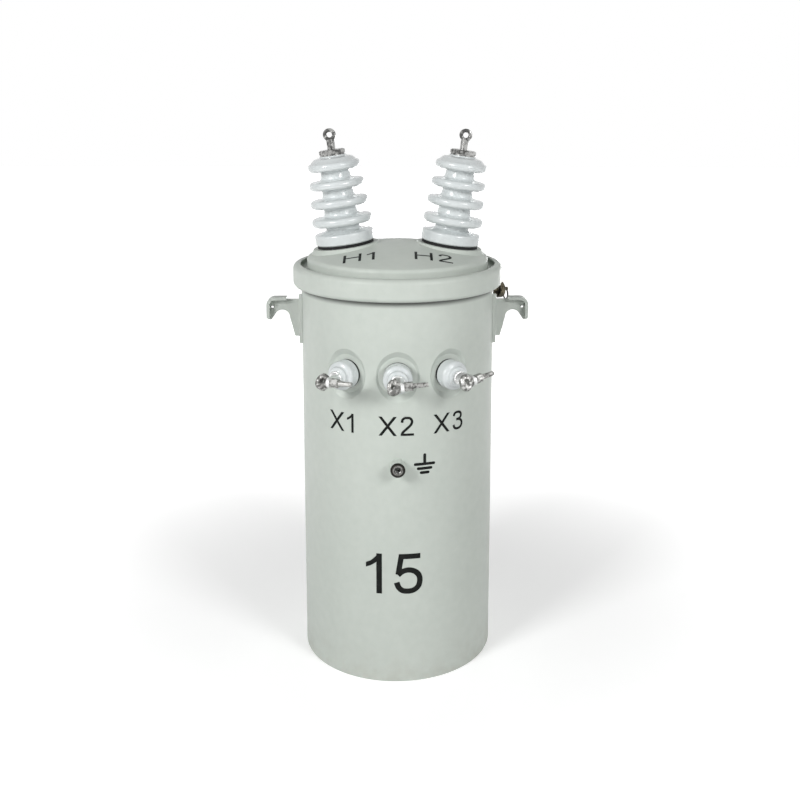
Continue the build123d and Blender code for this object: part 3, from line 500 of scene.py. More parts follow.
@dataclass(frozen=True)
class MetalFinish:
    """Bare or plated metal with a cast or rolled skin and tarnish."""

    name: str
    bright: Color
    tarnish: Color
    roughness: float
    tarnish_amount: float
    grain_depth: float
    grain_scale: float = 900.0
    stain_scale: float = 70.0
    slot: Slot = Slot.TINNED
    finer: float = 6.0
    stain_contrast: float = 2.2
    stain_spread: Point2 = (0.25, 0.85)
    stain_dull: float = 0.3
    grain_strength: float = 0.45

    def lay(self, sheet: PaintSheet) -> None:
        """Lays the finish on a material.

        Args:
            sheet: The material's sheet.
        """
        fine = self.stain_scale * self.finer
        tone = sheet.tone(self.stain_scale, fine, self.stain_contrast)
        stain = sheet.span(tone, *self.stain_spread, 0.0, self.tarnish_amount)
        grain = sheet.grain(self.grain_scale, self.grain_scale / self.finer)
        sheet.dress(
            Base_Color=sheet.blend(stain, self.bright, self.tarnish),
            Roughness=sheet.plus(sheet.times(stain, self.stain_dull), self.roughness),
            Normal=sheet.bump(grain, self.grain_strength, self.grain_depth),
            Metallic=1.0,
        )


@dataclass(frozen=True)
class MarkingFinish:
    """Black stencil enamel, a little thin in places."""

    name: str = "marking_black"
    slot: Slot = Slot.PAINT
    ink: Color = (0.006, 0.007, 0.006, 1.0)
    thin: Color = (0.018, 0.019, 0.018, 1.0)
    tone: Point3 = (60.0, 500.0, 1.2)
    wear: Point2 = (0.5, 1.0)
    roughness: Point2 = (0.55, 0.72)
    peel: Bump = (620.0, 2.0, 0.3, 0.00005)
    specular: float = 0.12

    def lay(self, sheet: PaintSheet) -> None:
        """Lays the finish on a material.

        Args:
            sheet: The material's sheet.
        """
        worn = sheet.span(sheet.tone(*self.tone), *self.wear)
        sheet.dress(
            Base_Color=sheet.blend(worn, self.ink, self.thin),
            Roughness=sheet.span(worn, 0.0, 1.0, *self.roughness),
            Normal=sheet.skin(self.peel),
            Specular_IOR_Level=self.specular,
        )


@dataclass(frozen=True)
class BossFinish:
    """Tank enamel that stops short of a bare, stained turned end."""

    centre: Point3
    name: str = "boss_enamel"
    slot: Slot = Slot.PAINT
    paint: Color = (0.585, 0.630, 0.585, 1.0)
    metal: Color = (0.200, 0.197, 0.188, 1.0)
    stain: Color = (0.020, 0.019, 0.017, 1.0)
    bare_depth: float = 0.0022
    bare_fade: float = 0.0003
    ragged: float = 0.0008
    ragged_scale: float = 300.0
    stain_ring: Point2 = (0.0075, 0.0100)
    tone: Point3 = (120.0, 600.0, 2.0)
    mottle: Point2 = (0.4, 0.9)
    roughness: Point2 = (0.36, 0.28)
    peel: Bump = (620.0, 2.0, 0.35, 0.00006)

    def lay(self, sheet: PaintSheet) -> None:
        """Lays the finish on a material.

        Args:
            sheet: The material's sheet.
        """
        ends = {0: sheet.spot, 1: self.centre}
        place = sheet.axes(sheet.put("ShaderNodeVectorMath", ends, operation="SUBTRACT"))
        edge = sheet.span(sheet.patch(self.ragged_scale), 0.2, 0.8, -self.ragged, self.ragged)
        depth = sheet.plus(place["Y"], edge)
        bare = sheet.span(depth, self.bare_depth + self.bare_fade, self.bare_depth - self.bare_fade)
        squares = [sheet.math("POWER", place[axis], 2.0) for axis in "XZ"]
        ring = sheet.span(sheet.math("SQRT", sheet.plus(*squares)), *self.stain_ring)
        mottle = sheet.span(sheet.tone(*self.tone), *self.mottle)
        end = sheet.blend(sheet.math("MAXIMUM", ring, mottle), self.metal, self.stain)
        sheet.dress(
            Base_Color=sheet.blend(bare, self.paint, end),
            Metallic=bare,
            Roughness=sheet.span(bare, 0.0, 1.0, *self.roughness),
            Normal=sheet.skin(self.peel),
        )


class FinishBook:
    """Every finish of the object, built once."""

    LEE_GAP = 0.003
    USUAL_COATS = {
        Slot.PAINT: "tank_enamel",
        Slot.PORCELAIN: "porcelain_glaze",
        Slot.RUBBER: "gasket_rubber",
        Slot.TINNED: "tinned_metal",
        Slot.ZINC: "zinc_plate",
        Slot.BRASS: "dark_brass",
    }

    def __init__(self) -> None:
        """Builds the shared groups and the finishes."""
        low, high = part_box("ground_boss")
        boss_end = ((low.x + high.x) / 2, low.y, (low.z + high.z) / 2)
        # The painted shade on the wall is full from a little below the band's lower edge.
        under_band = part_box("cover_band")[0].z - self.LEE_GAP
        hook = {"base": (0.480, 0.515, 0.480, 1.0), "light": (0.540, 0.572, 0.535, 1.0)}
        finishes = [
            EnamelFinish(),
            EnamelFinish("wall_enamel", lee_level=under_band),
            EnamelFinish("hook_enamel", peel=(620.0, 2.0, 0.35, 0.00012), **hook),
            BossFinish(boss_end),
            GlazeFinish(),
            RubberFinish(),
            MarkingFinish(),
        ]
        # Bright and tarnished colour, roughness, tarnish, grain's depth and scale, stain's scale.
        metals = {
            "tinned_metal": (0.40, 0.40, 0.39, 0.022, 0.022, 0.021, 0.17, 0.85, 6e-5, 900, 26),
            "terminal_cap": (0.76, 0.77, 0.765, 0.36, 0.36, 0.35, 0.34, 0.5, 8e-5, 900, 70),
            "clamp_bronze": (0.45, 0.45, 0.435, 0.060, 0.060, 0.056, 0.30, 0.8, 1e-4, 420, 38),
            "zinc_plate": (0.60, 0.61, 0.62, 0.30, 0.30, 0.29, 0.30, 0.5, 1e-4, 1400, 70),
            "dark_brass": (0.115, 0.100, 0.070, 0.006, 0.006, 0.005, 0.24, 0.95, 1.2e-4, 900, 70),
        }
        slots = {"zinc_plate": Slot.ZINC, "dark_brass": Slot.BRASS}
        for name, row in metals.items():
            colors = ((*row[:3], 1.0), (*row[3:6], 1.0))
            finishes.append(MetalFinish(name, *colors, *row[6:], slots.get(name, Slot.TINNED)))
        effects = SharedEffects()
        self.coats: Dict[str, Coat] = {}
        for finish in finishes:
            sheet = PaintSheet(finish.name, effects)
            finish.lay(sheet)
            self.coats[finish.name] = Coat(sheet.material, finish.slot)

    def __getitem__(self, name: str) -> Coat:
        """The coat of that name."""
        return self.coats[name]

    def for_node(self, name: str, slot: Slot) -> Coat:
        """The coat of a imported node.

        Args:
            name: The node's name.
            slot: Its material slot in the record.

        Returns:
            The coat.
        """
        if name.startswith("lifting_lug"):
            return self["hook_enamel"]
        if slot is Slot.TINNED and name.startswith("x"):
            return self["terminal_cap" if name.endswith("_stud") else "clamp_bronze"]
        own = {"ground_boss": "boss_enamel", "tank_wall": "wall_enamel"}
        return self[own.get(name, self.USUAL_COATS[slot])]


# ---------------- mesh helpers
def add_object(name: str, data: object) -> Object:
    """Puts data in the scene as a new object.

    Args:
        name: The object's name.
        data: Its mesh, lamp or camera.

    Returns:
        The object.
    """
    added = bpy.data.objects.new(name, data)
    bpy.context.scene.collection.objects.link(added)
    return added


def plain_mesh(source: Object) -> Mesh:
    """Bakes an object's modifiers to a plain mesh, and clears the object away.

    Args:
        source: The object.

    Returns:
        The mesh.
    """
    solid = source.evaluated_get(bpy.context.evaluated_depsgraph_get())
    mesh = bpy.data.meshes.new_from_object(solid)
    source.modifiers.clear()
    bpy.data.objects.remove(source)
    return mesh


def wear(item: Object, coat: Coat) -> None:
    """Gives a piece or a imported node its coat.

    Args:
        item: The piece or the node.
        coat: Its coat.
    """
    item.data.materials.clear()
    item.data.materials.append(coat.material)
    LOG.info("%s: %s, %d faces", item.name, coat.material.name, len(item.data.polygons))


def add_piece(name: str, mesh: Mesh, coat: Coat) -> Object:
    """Puts a finished mesh on the object's one body.

    Args:
        name: The piece's name.
        mesh: Its mesh, already in place.
        coat: Its coat.

    Returns:
        The piece.
    """
    mesh.name = name
    piece = add_object(name, mesh)
    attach(piece, "root")
    wear(piece, coat)
    return piece


def packed(name: str) -> Mesh:
    """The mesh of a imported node."""
    return frame["nodes"][name].data


def middle_of(name: str) -> Vector:
    """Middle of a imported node's skin, weighted by area."""
    faces = packed(name).polygons
    return sum((f.center * f.area for f in faces), Vector()) / sum(f.area for f in faces)


def surface_tree(name: str) -> BVHTree:
    """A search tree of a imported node's surface."""
    points = [vert.co.copy() for vert in packed(name).vertices]
    return BVHTree.FromPolygons(points, [tuple(face.vertices) for face in packed(name).polygons])


def mount_row(name: str) -> Tuple[Dict[str, float], Vector, Vector]:
    """The dimensions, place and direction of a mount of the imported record."""
    row = [row for row in frame["record"]["mounts"] if row["name"] == name][0]
    return row["dims"], Vector(row["pos_m"]), Vector(row["axis"]).normalized()


def tank_radius() -> float:
    """Radius of the tank wall's outside."""
    low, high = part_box("tank_bottom")
    return (high.x - low.x) / 2


def upright_at(foot: Vector, axis: Vector) -> Matrix:
    """The place whose origin is a foot point and whose Z is an axis."""
    return Matrix.Translation(foot) @ axis.to_track_quat("Z", "Y").to_matrix().to_4x4()


def path_mesh(name: str, points: Sequence[Sequence[float]], closed: bool = False) -> Mesh:
    """A mesh of edges along a path.

    Args:
        name: The mesh's name.
        points: The path's points.
        closed: Whether the last point joins the first.

    Returns:
        The mesh.
    """
    mesh = bpy.data.meshes.new(name)
    edges = [(index, index + 1) for index in range(len(points) - 1)]
    if closed:
        edges.append((len(points) - 1, 0))
    mesh.from_pydata([tuple(point) for point in points], edges, [])
    return mesh


@dataclass
class SubAssembly:
    """A group of pieces that wear finishes of one book."""

    finishes: FinishBook


# ---------------- grown pieces
class GrowthSheet(GroupSheet):
    """A geometry node tree with named sizes that ends in a plain dressed mesh."""

    def __init__(self, name: str, sizes: Dict[str, float]) -> None:
        """Makes a socket for each size, with its usual value."""
        inputs = {"Seed Mesh": "Geometry", **sizes, "Finish": "Material"}
        super().__init__(name, "Geometry", inputs, ("Mesh", "Geometry"))

    def close(self, grown: NodeSocket) -> "GrowthSheet":
        """Ends the tree with smooth shading, real geometry and the finish.

        Args:
            grown: The mesh that the tree has made.

        Returns:
            The sheet.
        """
        smooth = self.put("GeometryNodeSetShadeSmooth", {"Geometry": grown})
        real = self.put("GeometryNodeRealizeInstances", {"Geometry": smooth})
        dress = {"Geometry": real, "Material": self.given["Finish"]}
        self.end(self.put("GeometryNodeSetMaterial", dress))
        return self

    def sweep(
        self, path: NodeSocket, profile: NodeSocket, extra: Optional[Dict[str, object]] = None
    ) -> NodeSocket:
        """The mesh of a profile swept along a path, with any other inputs."""
        curves = {"Curve": path, "Profile Curve": profile, **(extra or {})}
        return self.put("GeometryNodeCurveToMesh", curves)

    def grow(
        self, name: str, seed: Mesh, coat: Coat, place: Optional[Matrix] = None, **sizes: float
    ) -> Object:
        """Runs the tree on a mesh and adds the plain mesh that it makes.

        Args:
            name: The piece's name.
            seed: The mesh that the tree starts from.
            coat: The piece's coat.
            place: Where the grown mesh goes.
            sizes: Values for the tree's inputs, with _ for a space.

        Returns:
            The piece.
        """
        source = add_object(f"{name}_seed", seed)
        growth = source.modifiers.new("growth", "NODES")
        growth.node_group = self.tree
        values = {**sizes, "Finish": coat.material}
        for item in self.tree.interface.items_tree:
            key = item.name.replace(" ", "_")
            if item.in_out == "INPUT" and key in values:
                growth[item.identifier] = values[key]
        mesh = plain_mesh(source)
        if place is not None:
            mesh.transform(place)
        shell = bmesh.new()
        shell.from_mesh(mesh)
        if shell.calc_volume(signed=True) < 0:
            mesh.flip_normals()
        shell.free()
        mesh.set_sharp_from_angle(angle=math.radians(SHARP_ANGLE))
        return add_piece(name, mesh, coat)


def round_corners(corners: Sequence[Point3], steps: int = 8) -> List[List[Point2]]:
    """Turns each corner of a path by an arc of its own radius.

    Args:
        corners: Place and radius of each corner.
        steps: Number of stretches in an arc.

    Returns:
        One list of points for each corner.
    """
    rounded: List[List[Point2]] = []
    for index, (x, y, radius) in enumerate(corners):
        if radius <= 0 or index in (0, len(corners) - 1):
            rounded.append([(x, y)])
            continue
        here = Vector((x, y))
        beside = (corners[index - 1], corners[index + 1])
        back, ahead = ((Vector(corner[:2]) - here).normalized() for corner in beside)
        half = back.angle(ahead) / 2
        centre = here + (back + ahead).normalized() * (radius / math.sin(half))
        ends = [here + way * (radius / math.tan(half)) - centre for way in (back, ahead)]
        start, stop = (math.atan2(end.y, end.x) for end in ends)
        turn = (stop - start + math.pi) % (2 * math.pi) - math.pi
        angles = [start + turn * step / steps for step in range(steps + 1)]
        rounded.append(
            [(centre.x + radius * math.cos(a), centre.y + radius * math.sin(a)) for a in angles]
        )
    return rounded


@dataclass
class ShedBushing(SubAssembly):
    """Glazed bushing body: a foot, evenly pitched sheds that taper, and a crown."""

    sheds: int = 4
    gasket: float = 0.0055
    shank_radius: float = 0.0200
    shank_length: float = 0.0340
    foot_radius: float = 0.0542
    foot_height: float = 0.0190
    foot_slope: float = 12.0
    foot_chamfer: float = 0.0020
    foot_round: float = 0.0040
    core_foot: float = 0.0315
    core_top: float = 0.0260
    lead: float = 0.0221
    pitch: float = 0.0334
    reach_foot: float = 0.0555
    reach_top: float = 0.0472
    edge: float = 0.0068
    edge_round: float = 0.0062
    slope: float = 7.5
    underslope: float = 4.0
    root_round: float = 0.0045
    crown_radius: float = 0.0245
    crown_height: float = 0.0192
    crown_slope: float = 24.0
    crown_bulge: float = 0.0345
    crown_swell: float = 0.0020
    crown_bulge_round: float = 0.0090
    crown_round: float = 0.0018
    turns: int = 112
    hub: float = 0.001
    merge: float = 2e-6

    def build(self) -> None:
        """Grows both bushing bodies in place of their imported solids."""
        first, unit, last = self._outline()
        sheet = self._tree()
        core_step = (self.core_foot - self.core_top) / (self.sheds - 1)
        reach_step = (self.reach_foot - self.reach_top) / (self.sheds - 1)
        core = self.core_foot - core_step
        for side in ("h1", "h2"):
            low = middle_of(f"{side}_gasket")
            axis = (middle_of(f"{side}_washer") - low).normalized()
            piece = sheet.grow(
                f"{side}_shed_body",
                path_mesh(f"{side}_outline", [(x, y, 0) for x, y in first + unit + last]),
                self.finishes["porcelain_glaze"],
                upright_at(low - axis * (self.gasket / 2), axis),
                Foot_Points=len(first),
                Shed_Points=len(unit),
                Repeats=self.sheds - 1,
                Pitch=self.pitch,
                Core_Radius=core,
                Core_Taper=core_step,
                Reach_Taper=(reach_step - core_step) / (self.reach_foot - reach_step - core),
                Turns=self.turns,
            )
            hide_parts(f"{side}_porcelain")

    def _outline(self) -> Tuple[List[Point2], List[Point2], List[Point2]]:
        """The outline's foot with its first shed, the next shed, and the crown.

        Returns:
            Three stretches of the outline, from the axis at the shank to the crown.
        """
        foot_top = self.gasket + self.foot_height
        rise = (self.foot_radius - self.core_foot) * math.tan(math.radians(self.foot_slope))
        corners = [
            (0.0, -self.shank_length, 0.0),
            (self.shank_radius, -self.shank_length, 0.0),
            (self.shank_radius, self.gasket, 0.0),
            (self.foot_radius - self.foot_chamfer, self.gasket, 0.0),
            (self.foot_radius, self.gasket + self.foot_chamfer, 0.0),
            (self.foot_radius, foot_top, self.foot_round),
            (self.core_foot, foot_top + rise, self.root_round),
        ]
        foot_corners = len(corners)
        for index in range(self.sheds):
            level = foot_top + self.lead + self.pitch * index
            corners += self._shed(index, level)
        shed_corners = (len(corners) - foot_corners) // self.sheds
        neck = self.reach_top - self.crown_radius
        crown_rise = neck * math.tan(math.radians(self.crown_slope))
        base = level + self.edge
        share = (self.reach_top - self.crown_bulge) / neck
        shoulder = base + crown_rise * share + self.crown_swell
        crown = [
            (self.crown_bulge, shoulder, self.crown_bulge_round),
            (self.crown_radius, base + crown_rise, 0.0),
            (self.crown_radius, level + self.crown_height, self.crown_round),
            (0.0, level + self.crown_height, 0.0),
        ]
        groups = round_corners(corners[:-1] + crown)
        past_rim = foot_corners + shed_corners - 1
        next_rim = past_rim + shed_corners
        parts = (groups[:past_rim], groups[past_rim:next_rim], groups[-len(crown) :])
        return tuple([point for group in part for point in group] for part in parts)

    def _shed(self, index: int, level: float) -> List[Point3]:
        """Corners of one shed and of the core over it.

        Args:
            index: Number of the shed, from the foot.
            level: Height of the shed's rim over the seat.

        Returns:
            The shed's two roots and its rim.
        """
        share = index / (self.sheds - 1)
        core = self.core_foot + (self.core_top - self.core_foot) * share
        rim = self.reach_foot + (self.reach_top - self.reach_foot) * share
        under = (rim - core) * math.tan(math.radians(self.underslope))
        over = (rim - core) * math.tan(math.radians(self.slope))
        return [
            (core, level - self.edge - under, self.root_round),
            (rim, level - self.edge, self.edge_round),
            (rim, level + self.edge, self.edge_round),
            (core, level + self.edge + over, self.root_round),
        ]

    def _tree(self) -> GrowthSheet:
        """Repeats the shed along the axis, tapers it, and turns the outline round.

        Returns:
            The tree.
        """
        counts = {"Foot Points": 1, "Shed Points": 1, "Repeats": 3}
        sizes = {"Pitch": 0.03, "Core Radius": 0.03, "Core Taper": 0.002, "Reach Taper": 0.05}
        sheet = GrowthSheet("shed_stack", {**counts, **sizes, "Turns": 96})
        plus, minus, times = sheet.plus, sheet.minus, sheet.times
        given = sheet.given
        seed, unit = given["Seed Mesh"], given["Shed Points"]
        drawn = sheet.add("GeometryNodeAttributeDomainSize", {"Geometry": seed})
        repeated = times(unit, given["Repeats"])
        added = minus(repeated, unit)
        count = plus(drawn.outputs["Point Count"], added)
        line = sheet.put("GeometryNodeMeshLine", {"Count": count})
        index = sheet.put("GeometryNodeInputIndex")
        past_foot = minus(index, given["Foot Points"])
        # Counts are whole, so a step of a half or a quarter keeps the tests off their edges.
        begun = sheet.math("GREATER_THAN", past_foot, -0.5)
        ended = sheet.math("GREATER_THAN", past_foot, minus(repeated, 0.5))
        lap = sheet.math("FLOOR", sheet.math("DIVIDE", plus(past_foot, 0.25), unit))
        lap = times(lap, minus(begun, ended))
        skipped = plus(times(ended, added), times(lap, unit))
        place = sheet.put("GeometryNodeInputPosition")
        source = plus(minus(index, skipped), 0.25)
        drawn_at = {"Geometry": seed, "Value": place, "Index": source}
        spot = sheet.axes(sheet.put("GeometryNodeSampleIndex", drawn_at, data_type="FLOAT_VECTOR"))
        outward = minus(spot["X"], given["Core Radius"])
        lost = times(times(lap, given["Reach Taper"]), outward)
        radius = minus(spot["X"], plus(lost, times(lap, given["Core Taper"])))
        height = plus(spot["Y"], times(lap, given["Pitch"]))
        # A swept profile lies with its Y downwards on a level circle.
        swept = {"X": minus(radius, self.hub), "Y": times(height, -1.0)}
        point = sheet.put("ShaderNodeCombineXYZ", swept)
        placed = sheet.put("GeometryNodeSetPosition", {"Geometry": line, "Position": point})
        outline = sheet.put("GeometryNodeMeshToCurve", {"Mesh": placed})
        hub = {"Resolution": given["Turns"], "Radius": self.hub}
        circle = sheet.put("GeometryNodeCurvePrimitiveCircle", hub)
        turned = sheet.sweep(circle, outline)
        closed = {"Geometry": turned, "Distance": self.merge}
        return sheet.close(sheet.put("GeometryNodeMergeByDistance", closed))


@dataclass
class ForgedClamps(SubAssembly):
    """Forged eyebolts of the low voltage terminals, with a full eye and a rough skin."""

    hole: float = 0.0056
    eye: float = 0.0108
    grow_out: float = 0.0048
    grow_lean: float = 1.5
    close_in: float = 0.0026
    grow_wide: float = 0.42
    blend: float = 0.0035
    voxel: float = 0.00055
    lump: float = 0.0030
    lump_size: float = 0.0075
    lump_reach: float = 2.2
    skin: float = 0.00022
    skin_size: float = 0.0020
    skin_spread: float = 3.0

    def build(self) -> None:
        """Makes the three eyebolts."""
        for side in LV_SIDES:
            bolt = f"{side}_eyebolt"
            _, centre, bore = mount_row(f"{side}_service_eye")
            source = add_object(f"{bolt}_form", self._swell(bolt, centre, bore))
            remesh = source.modifiers.new("skin", "REMESH")
            remesh.mode = "VOXEL"
            remesh.voxel_size = self.voxel
            forged = plain_mesh(source)
            self._roughen(forged, centre)
            self._press_back(forged, centre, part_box(bolt)[0].y)
            forged.shade_smooth()
            piece = add_piece(f"{bolt}_forged", forged, self.finishes["clamp_bronze"])
            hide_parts(bolt)

    def _swell(self, bolt: str, centre: Vector, bore: Vector) -> Mesh:
        """Copies one bolt and fills out its eye.

        Args:
            bolt: The bolt's node.
            centre: Middle of its eye.
            bore: Direction of the eye's bore.

        Returns:
            The fuller bolt.
        """
        shell = bmesh.new()
        shell.from_mesh(packed(bolt))
        bmesh.ops.remove_doubles(shell, verts=shell.verts, dist=MERGE)
        shank = (middle_of(bolt) - centre).normalized()
        for vert in shell.verts:
            away = vert.co - centre
            depth = away.dot(bore)
            flat = away - bore * depth
            reach = max(flat.length, MERGE)
            share = min(1.0, max(0.0, (self.eye + self.blend - reach) / self.blend))
            share = share * share * (3 - 2 * share)
            upright = abs(flat.normalized().z)
            toward = max(0.0, flat.normalized().dot(shank))
            rim = min(1.0, max(0.0, reach - self.hole) / (self.eye - self.hole))
            out = self.grow_out * rim * max(upright, toward) ** self.grow_lean
            out -= self.close_in * max(0.0, 1 - rim)
            flat *= 1 + share * out / reach
            vert.co = centre + flat + bore * (depth * (1 + share * self.grow_wide))
        mesh = bpy.data.meshes.new(f"{bolt}_form")
        shell.to_mesh(mesh)
        shell.free()
        return mesh

    def _roughen(self, mesh: Mesh, centre: Vector) -> None:
        """Gives a mesh the lumps and the skin of a forging, most of all round its eye.

        Args:
            mesh: The mesh.
            centre: Middle of the eye.
        """
        normals = [vert.normal.copy() for vert in mesh.vertices]
        for vert, normal in zip(mesh.vertices, normals):
            far = (vert.co - centre).length / (self.lump_reach * self.eye)
            near = max(0.0, 1 - far)
            lump = noise.noise(vert.co / self.lump_size) * self.lump * near
            spread = min(1.0, near * self.skin_spread)
            skin = noise.noise(vert.co / self.skin_size) * self.skin * spread
            vert.co += normal * (lump + skin)

    def _press_back(self, mesh: Mesh, centre: Vector, front: float) -> None:
        """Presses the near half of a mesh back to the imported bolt's own front.

        Args:
            mesh: The mesh.
            centre: Middle of the eye.
            front: The Y level that the bolt reaches.
        """
        reached = min(vert.co.y for vert in mesh.vertices)
        share = min(1.0, (centre.y - front) / (centre.y - reached))
        for vert in mesh.vertices:
            if vert.co.y < centre.y:
                vert.co.y = centre.y + (vert.co.y - centre.y) * share


@dataclass
class Threads(SubAssembly):
    """Screw threads on the clamp bolts, the band bolt and in the ground boss."""

    clamp_radius: float = 0.0038
    tail_reach: float = 0.0002
    foot_gap: float = 0.0004
    end_gap: float = 0.0012
    bore_gap: float = 0.0015
    pitch_share: float = 0.34
    least_pitch: float = 0.0012
    ridge_share: float = 0.36
    ridge_sides: int = 5
    turn_steps: int = 28

    def build(self) -> None:
        """Grows every thread."""
        self.sheet = self._tree()
        for side in LV_SIDES:
            self._on_bolt(side, f"{side}_eyebolt", "clamp_bronze", self.clamp_radius)
        self._on_bolt("band", "band_bolt", "zinc_plate")
        self._in_boss()

    def _on_bolt(self, side: str, bolt: str, finish: str, radius: float = 0.0) -> None:
        """Grows the thread on the tail of a bolt that stands out of its nut.

        Args:
            side: The name that the thread and the nut start with.
            bolt: The bolt's node.
            finish: The thread's finish.
            radius: The bolt's radius, or 0 to measure it at the tail.
        """
        nut = f"{side}_nut"
        start = middle_of(bolt)
        axis = (middle_of(nut) - start).normalized()
        foot = max((vert.co - start).dot(axis) for vert in packed(nut).vertices) + self.foot_gap
        points = [vert.co - start for vert in packed(bolt).vertices]
        tail = max(point.dot(axis) for point in points)
        ends = [point for point in points if point.dot(axis) > tail - self.tail_reach]
        radius = radius or max((point - axis * point.dot(axis)).length for point in ends)
        length = tail - foot - self.end_gap
        self._grow(f"{side}_thread", start + axis * foot, axis, radius, length, finish)

    def _in_boss(self) -> None:
        """Grows the thread inside the ground boss."""
        dims, place, axis = mount_row("ground_boss")
        length = dims["length_mm"] * MM
        foot = place - axis * (length / 2)
        radius = dims["r_mm"] * MM
        self._grow("ground_thread", foot, axis, radius, length - self.bore_gap, "tinned_metal")

    def _grow(
        self, name: str, foot: Vector, axis: Vector, radius: float, length: float, finish: str
    ) -> None:
        """Grows one thread.

        Args:
            name: The thread's name.
            foot: Where the thread starts, on its axis.
            axis: Direction of the axis.
            radius: Radius of the rod or bore.
            length: Length of the thread.
            finish: The thread's finish.
        """
        pitch = max(self.least_pitch, radius * self.pitch_share)
        self.sheet.grow(
            name,
            path_mesh(f"{name}_axis", [(0, 0, 0), (0, 0, length)]),
            self.finishes[finish],
            upright_at(foot, axis),
            Radius=radius,
            Length=length,
            Turns=length / pitch,
            Ridge=pitch * self.ridge_share,
            Resolution=self.turn_steps,
        )

    def _tree(self) -> GrowthSheet:
        """Sweeps a small ridge along a helix.

        Returns:
            The tree.
        """
        sizes = {"Radius": 0.004, "Length": 0.02, "Turns": 12.0, "Ridge": 0.0004}
        sheet = GrowthSheet("screw_thread", {**sizes, "Resolution": 24})
        given = sheet.given
        shape = {
            "Resolution": given["Resolution"],
            "Rotations": given["Turns"],
            "Start Radius": given["Radius"],
            "End Radius": given["Radius"],
            "Height": given["Length"],
        }
        helix = sheet.put("GeometryNodeCurveSpiral", shape)
        section = {"Resolution": self.ridge_sides, "Radius": given["Ridge"]}
        ridge = sheet.put("GeometryNodeCurvePrimitiveCircle", section)
        return sheet.close(sheet.sweep(helix, ridge, {"Fill Caps": True}))


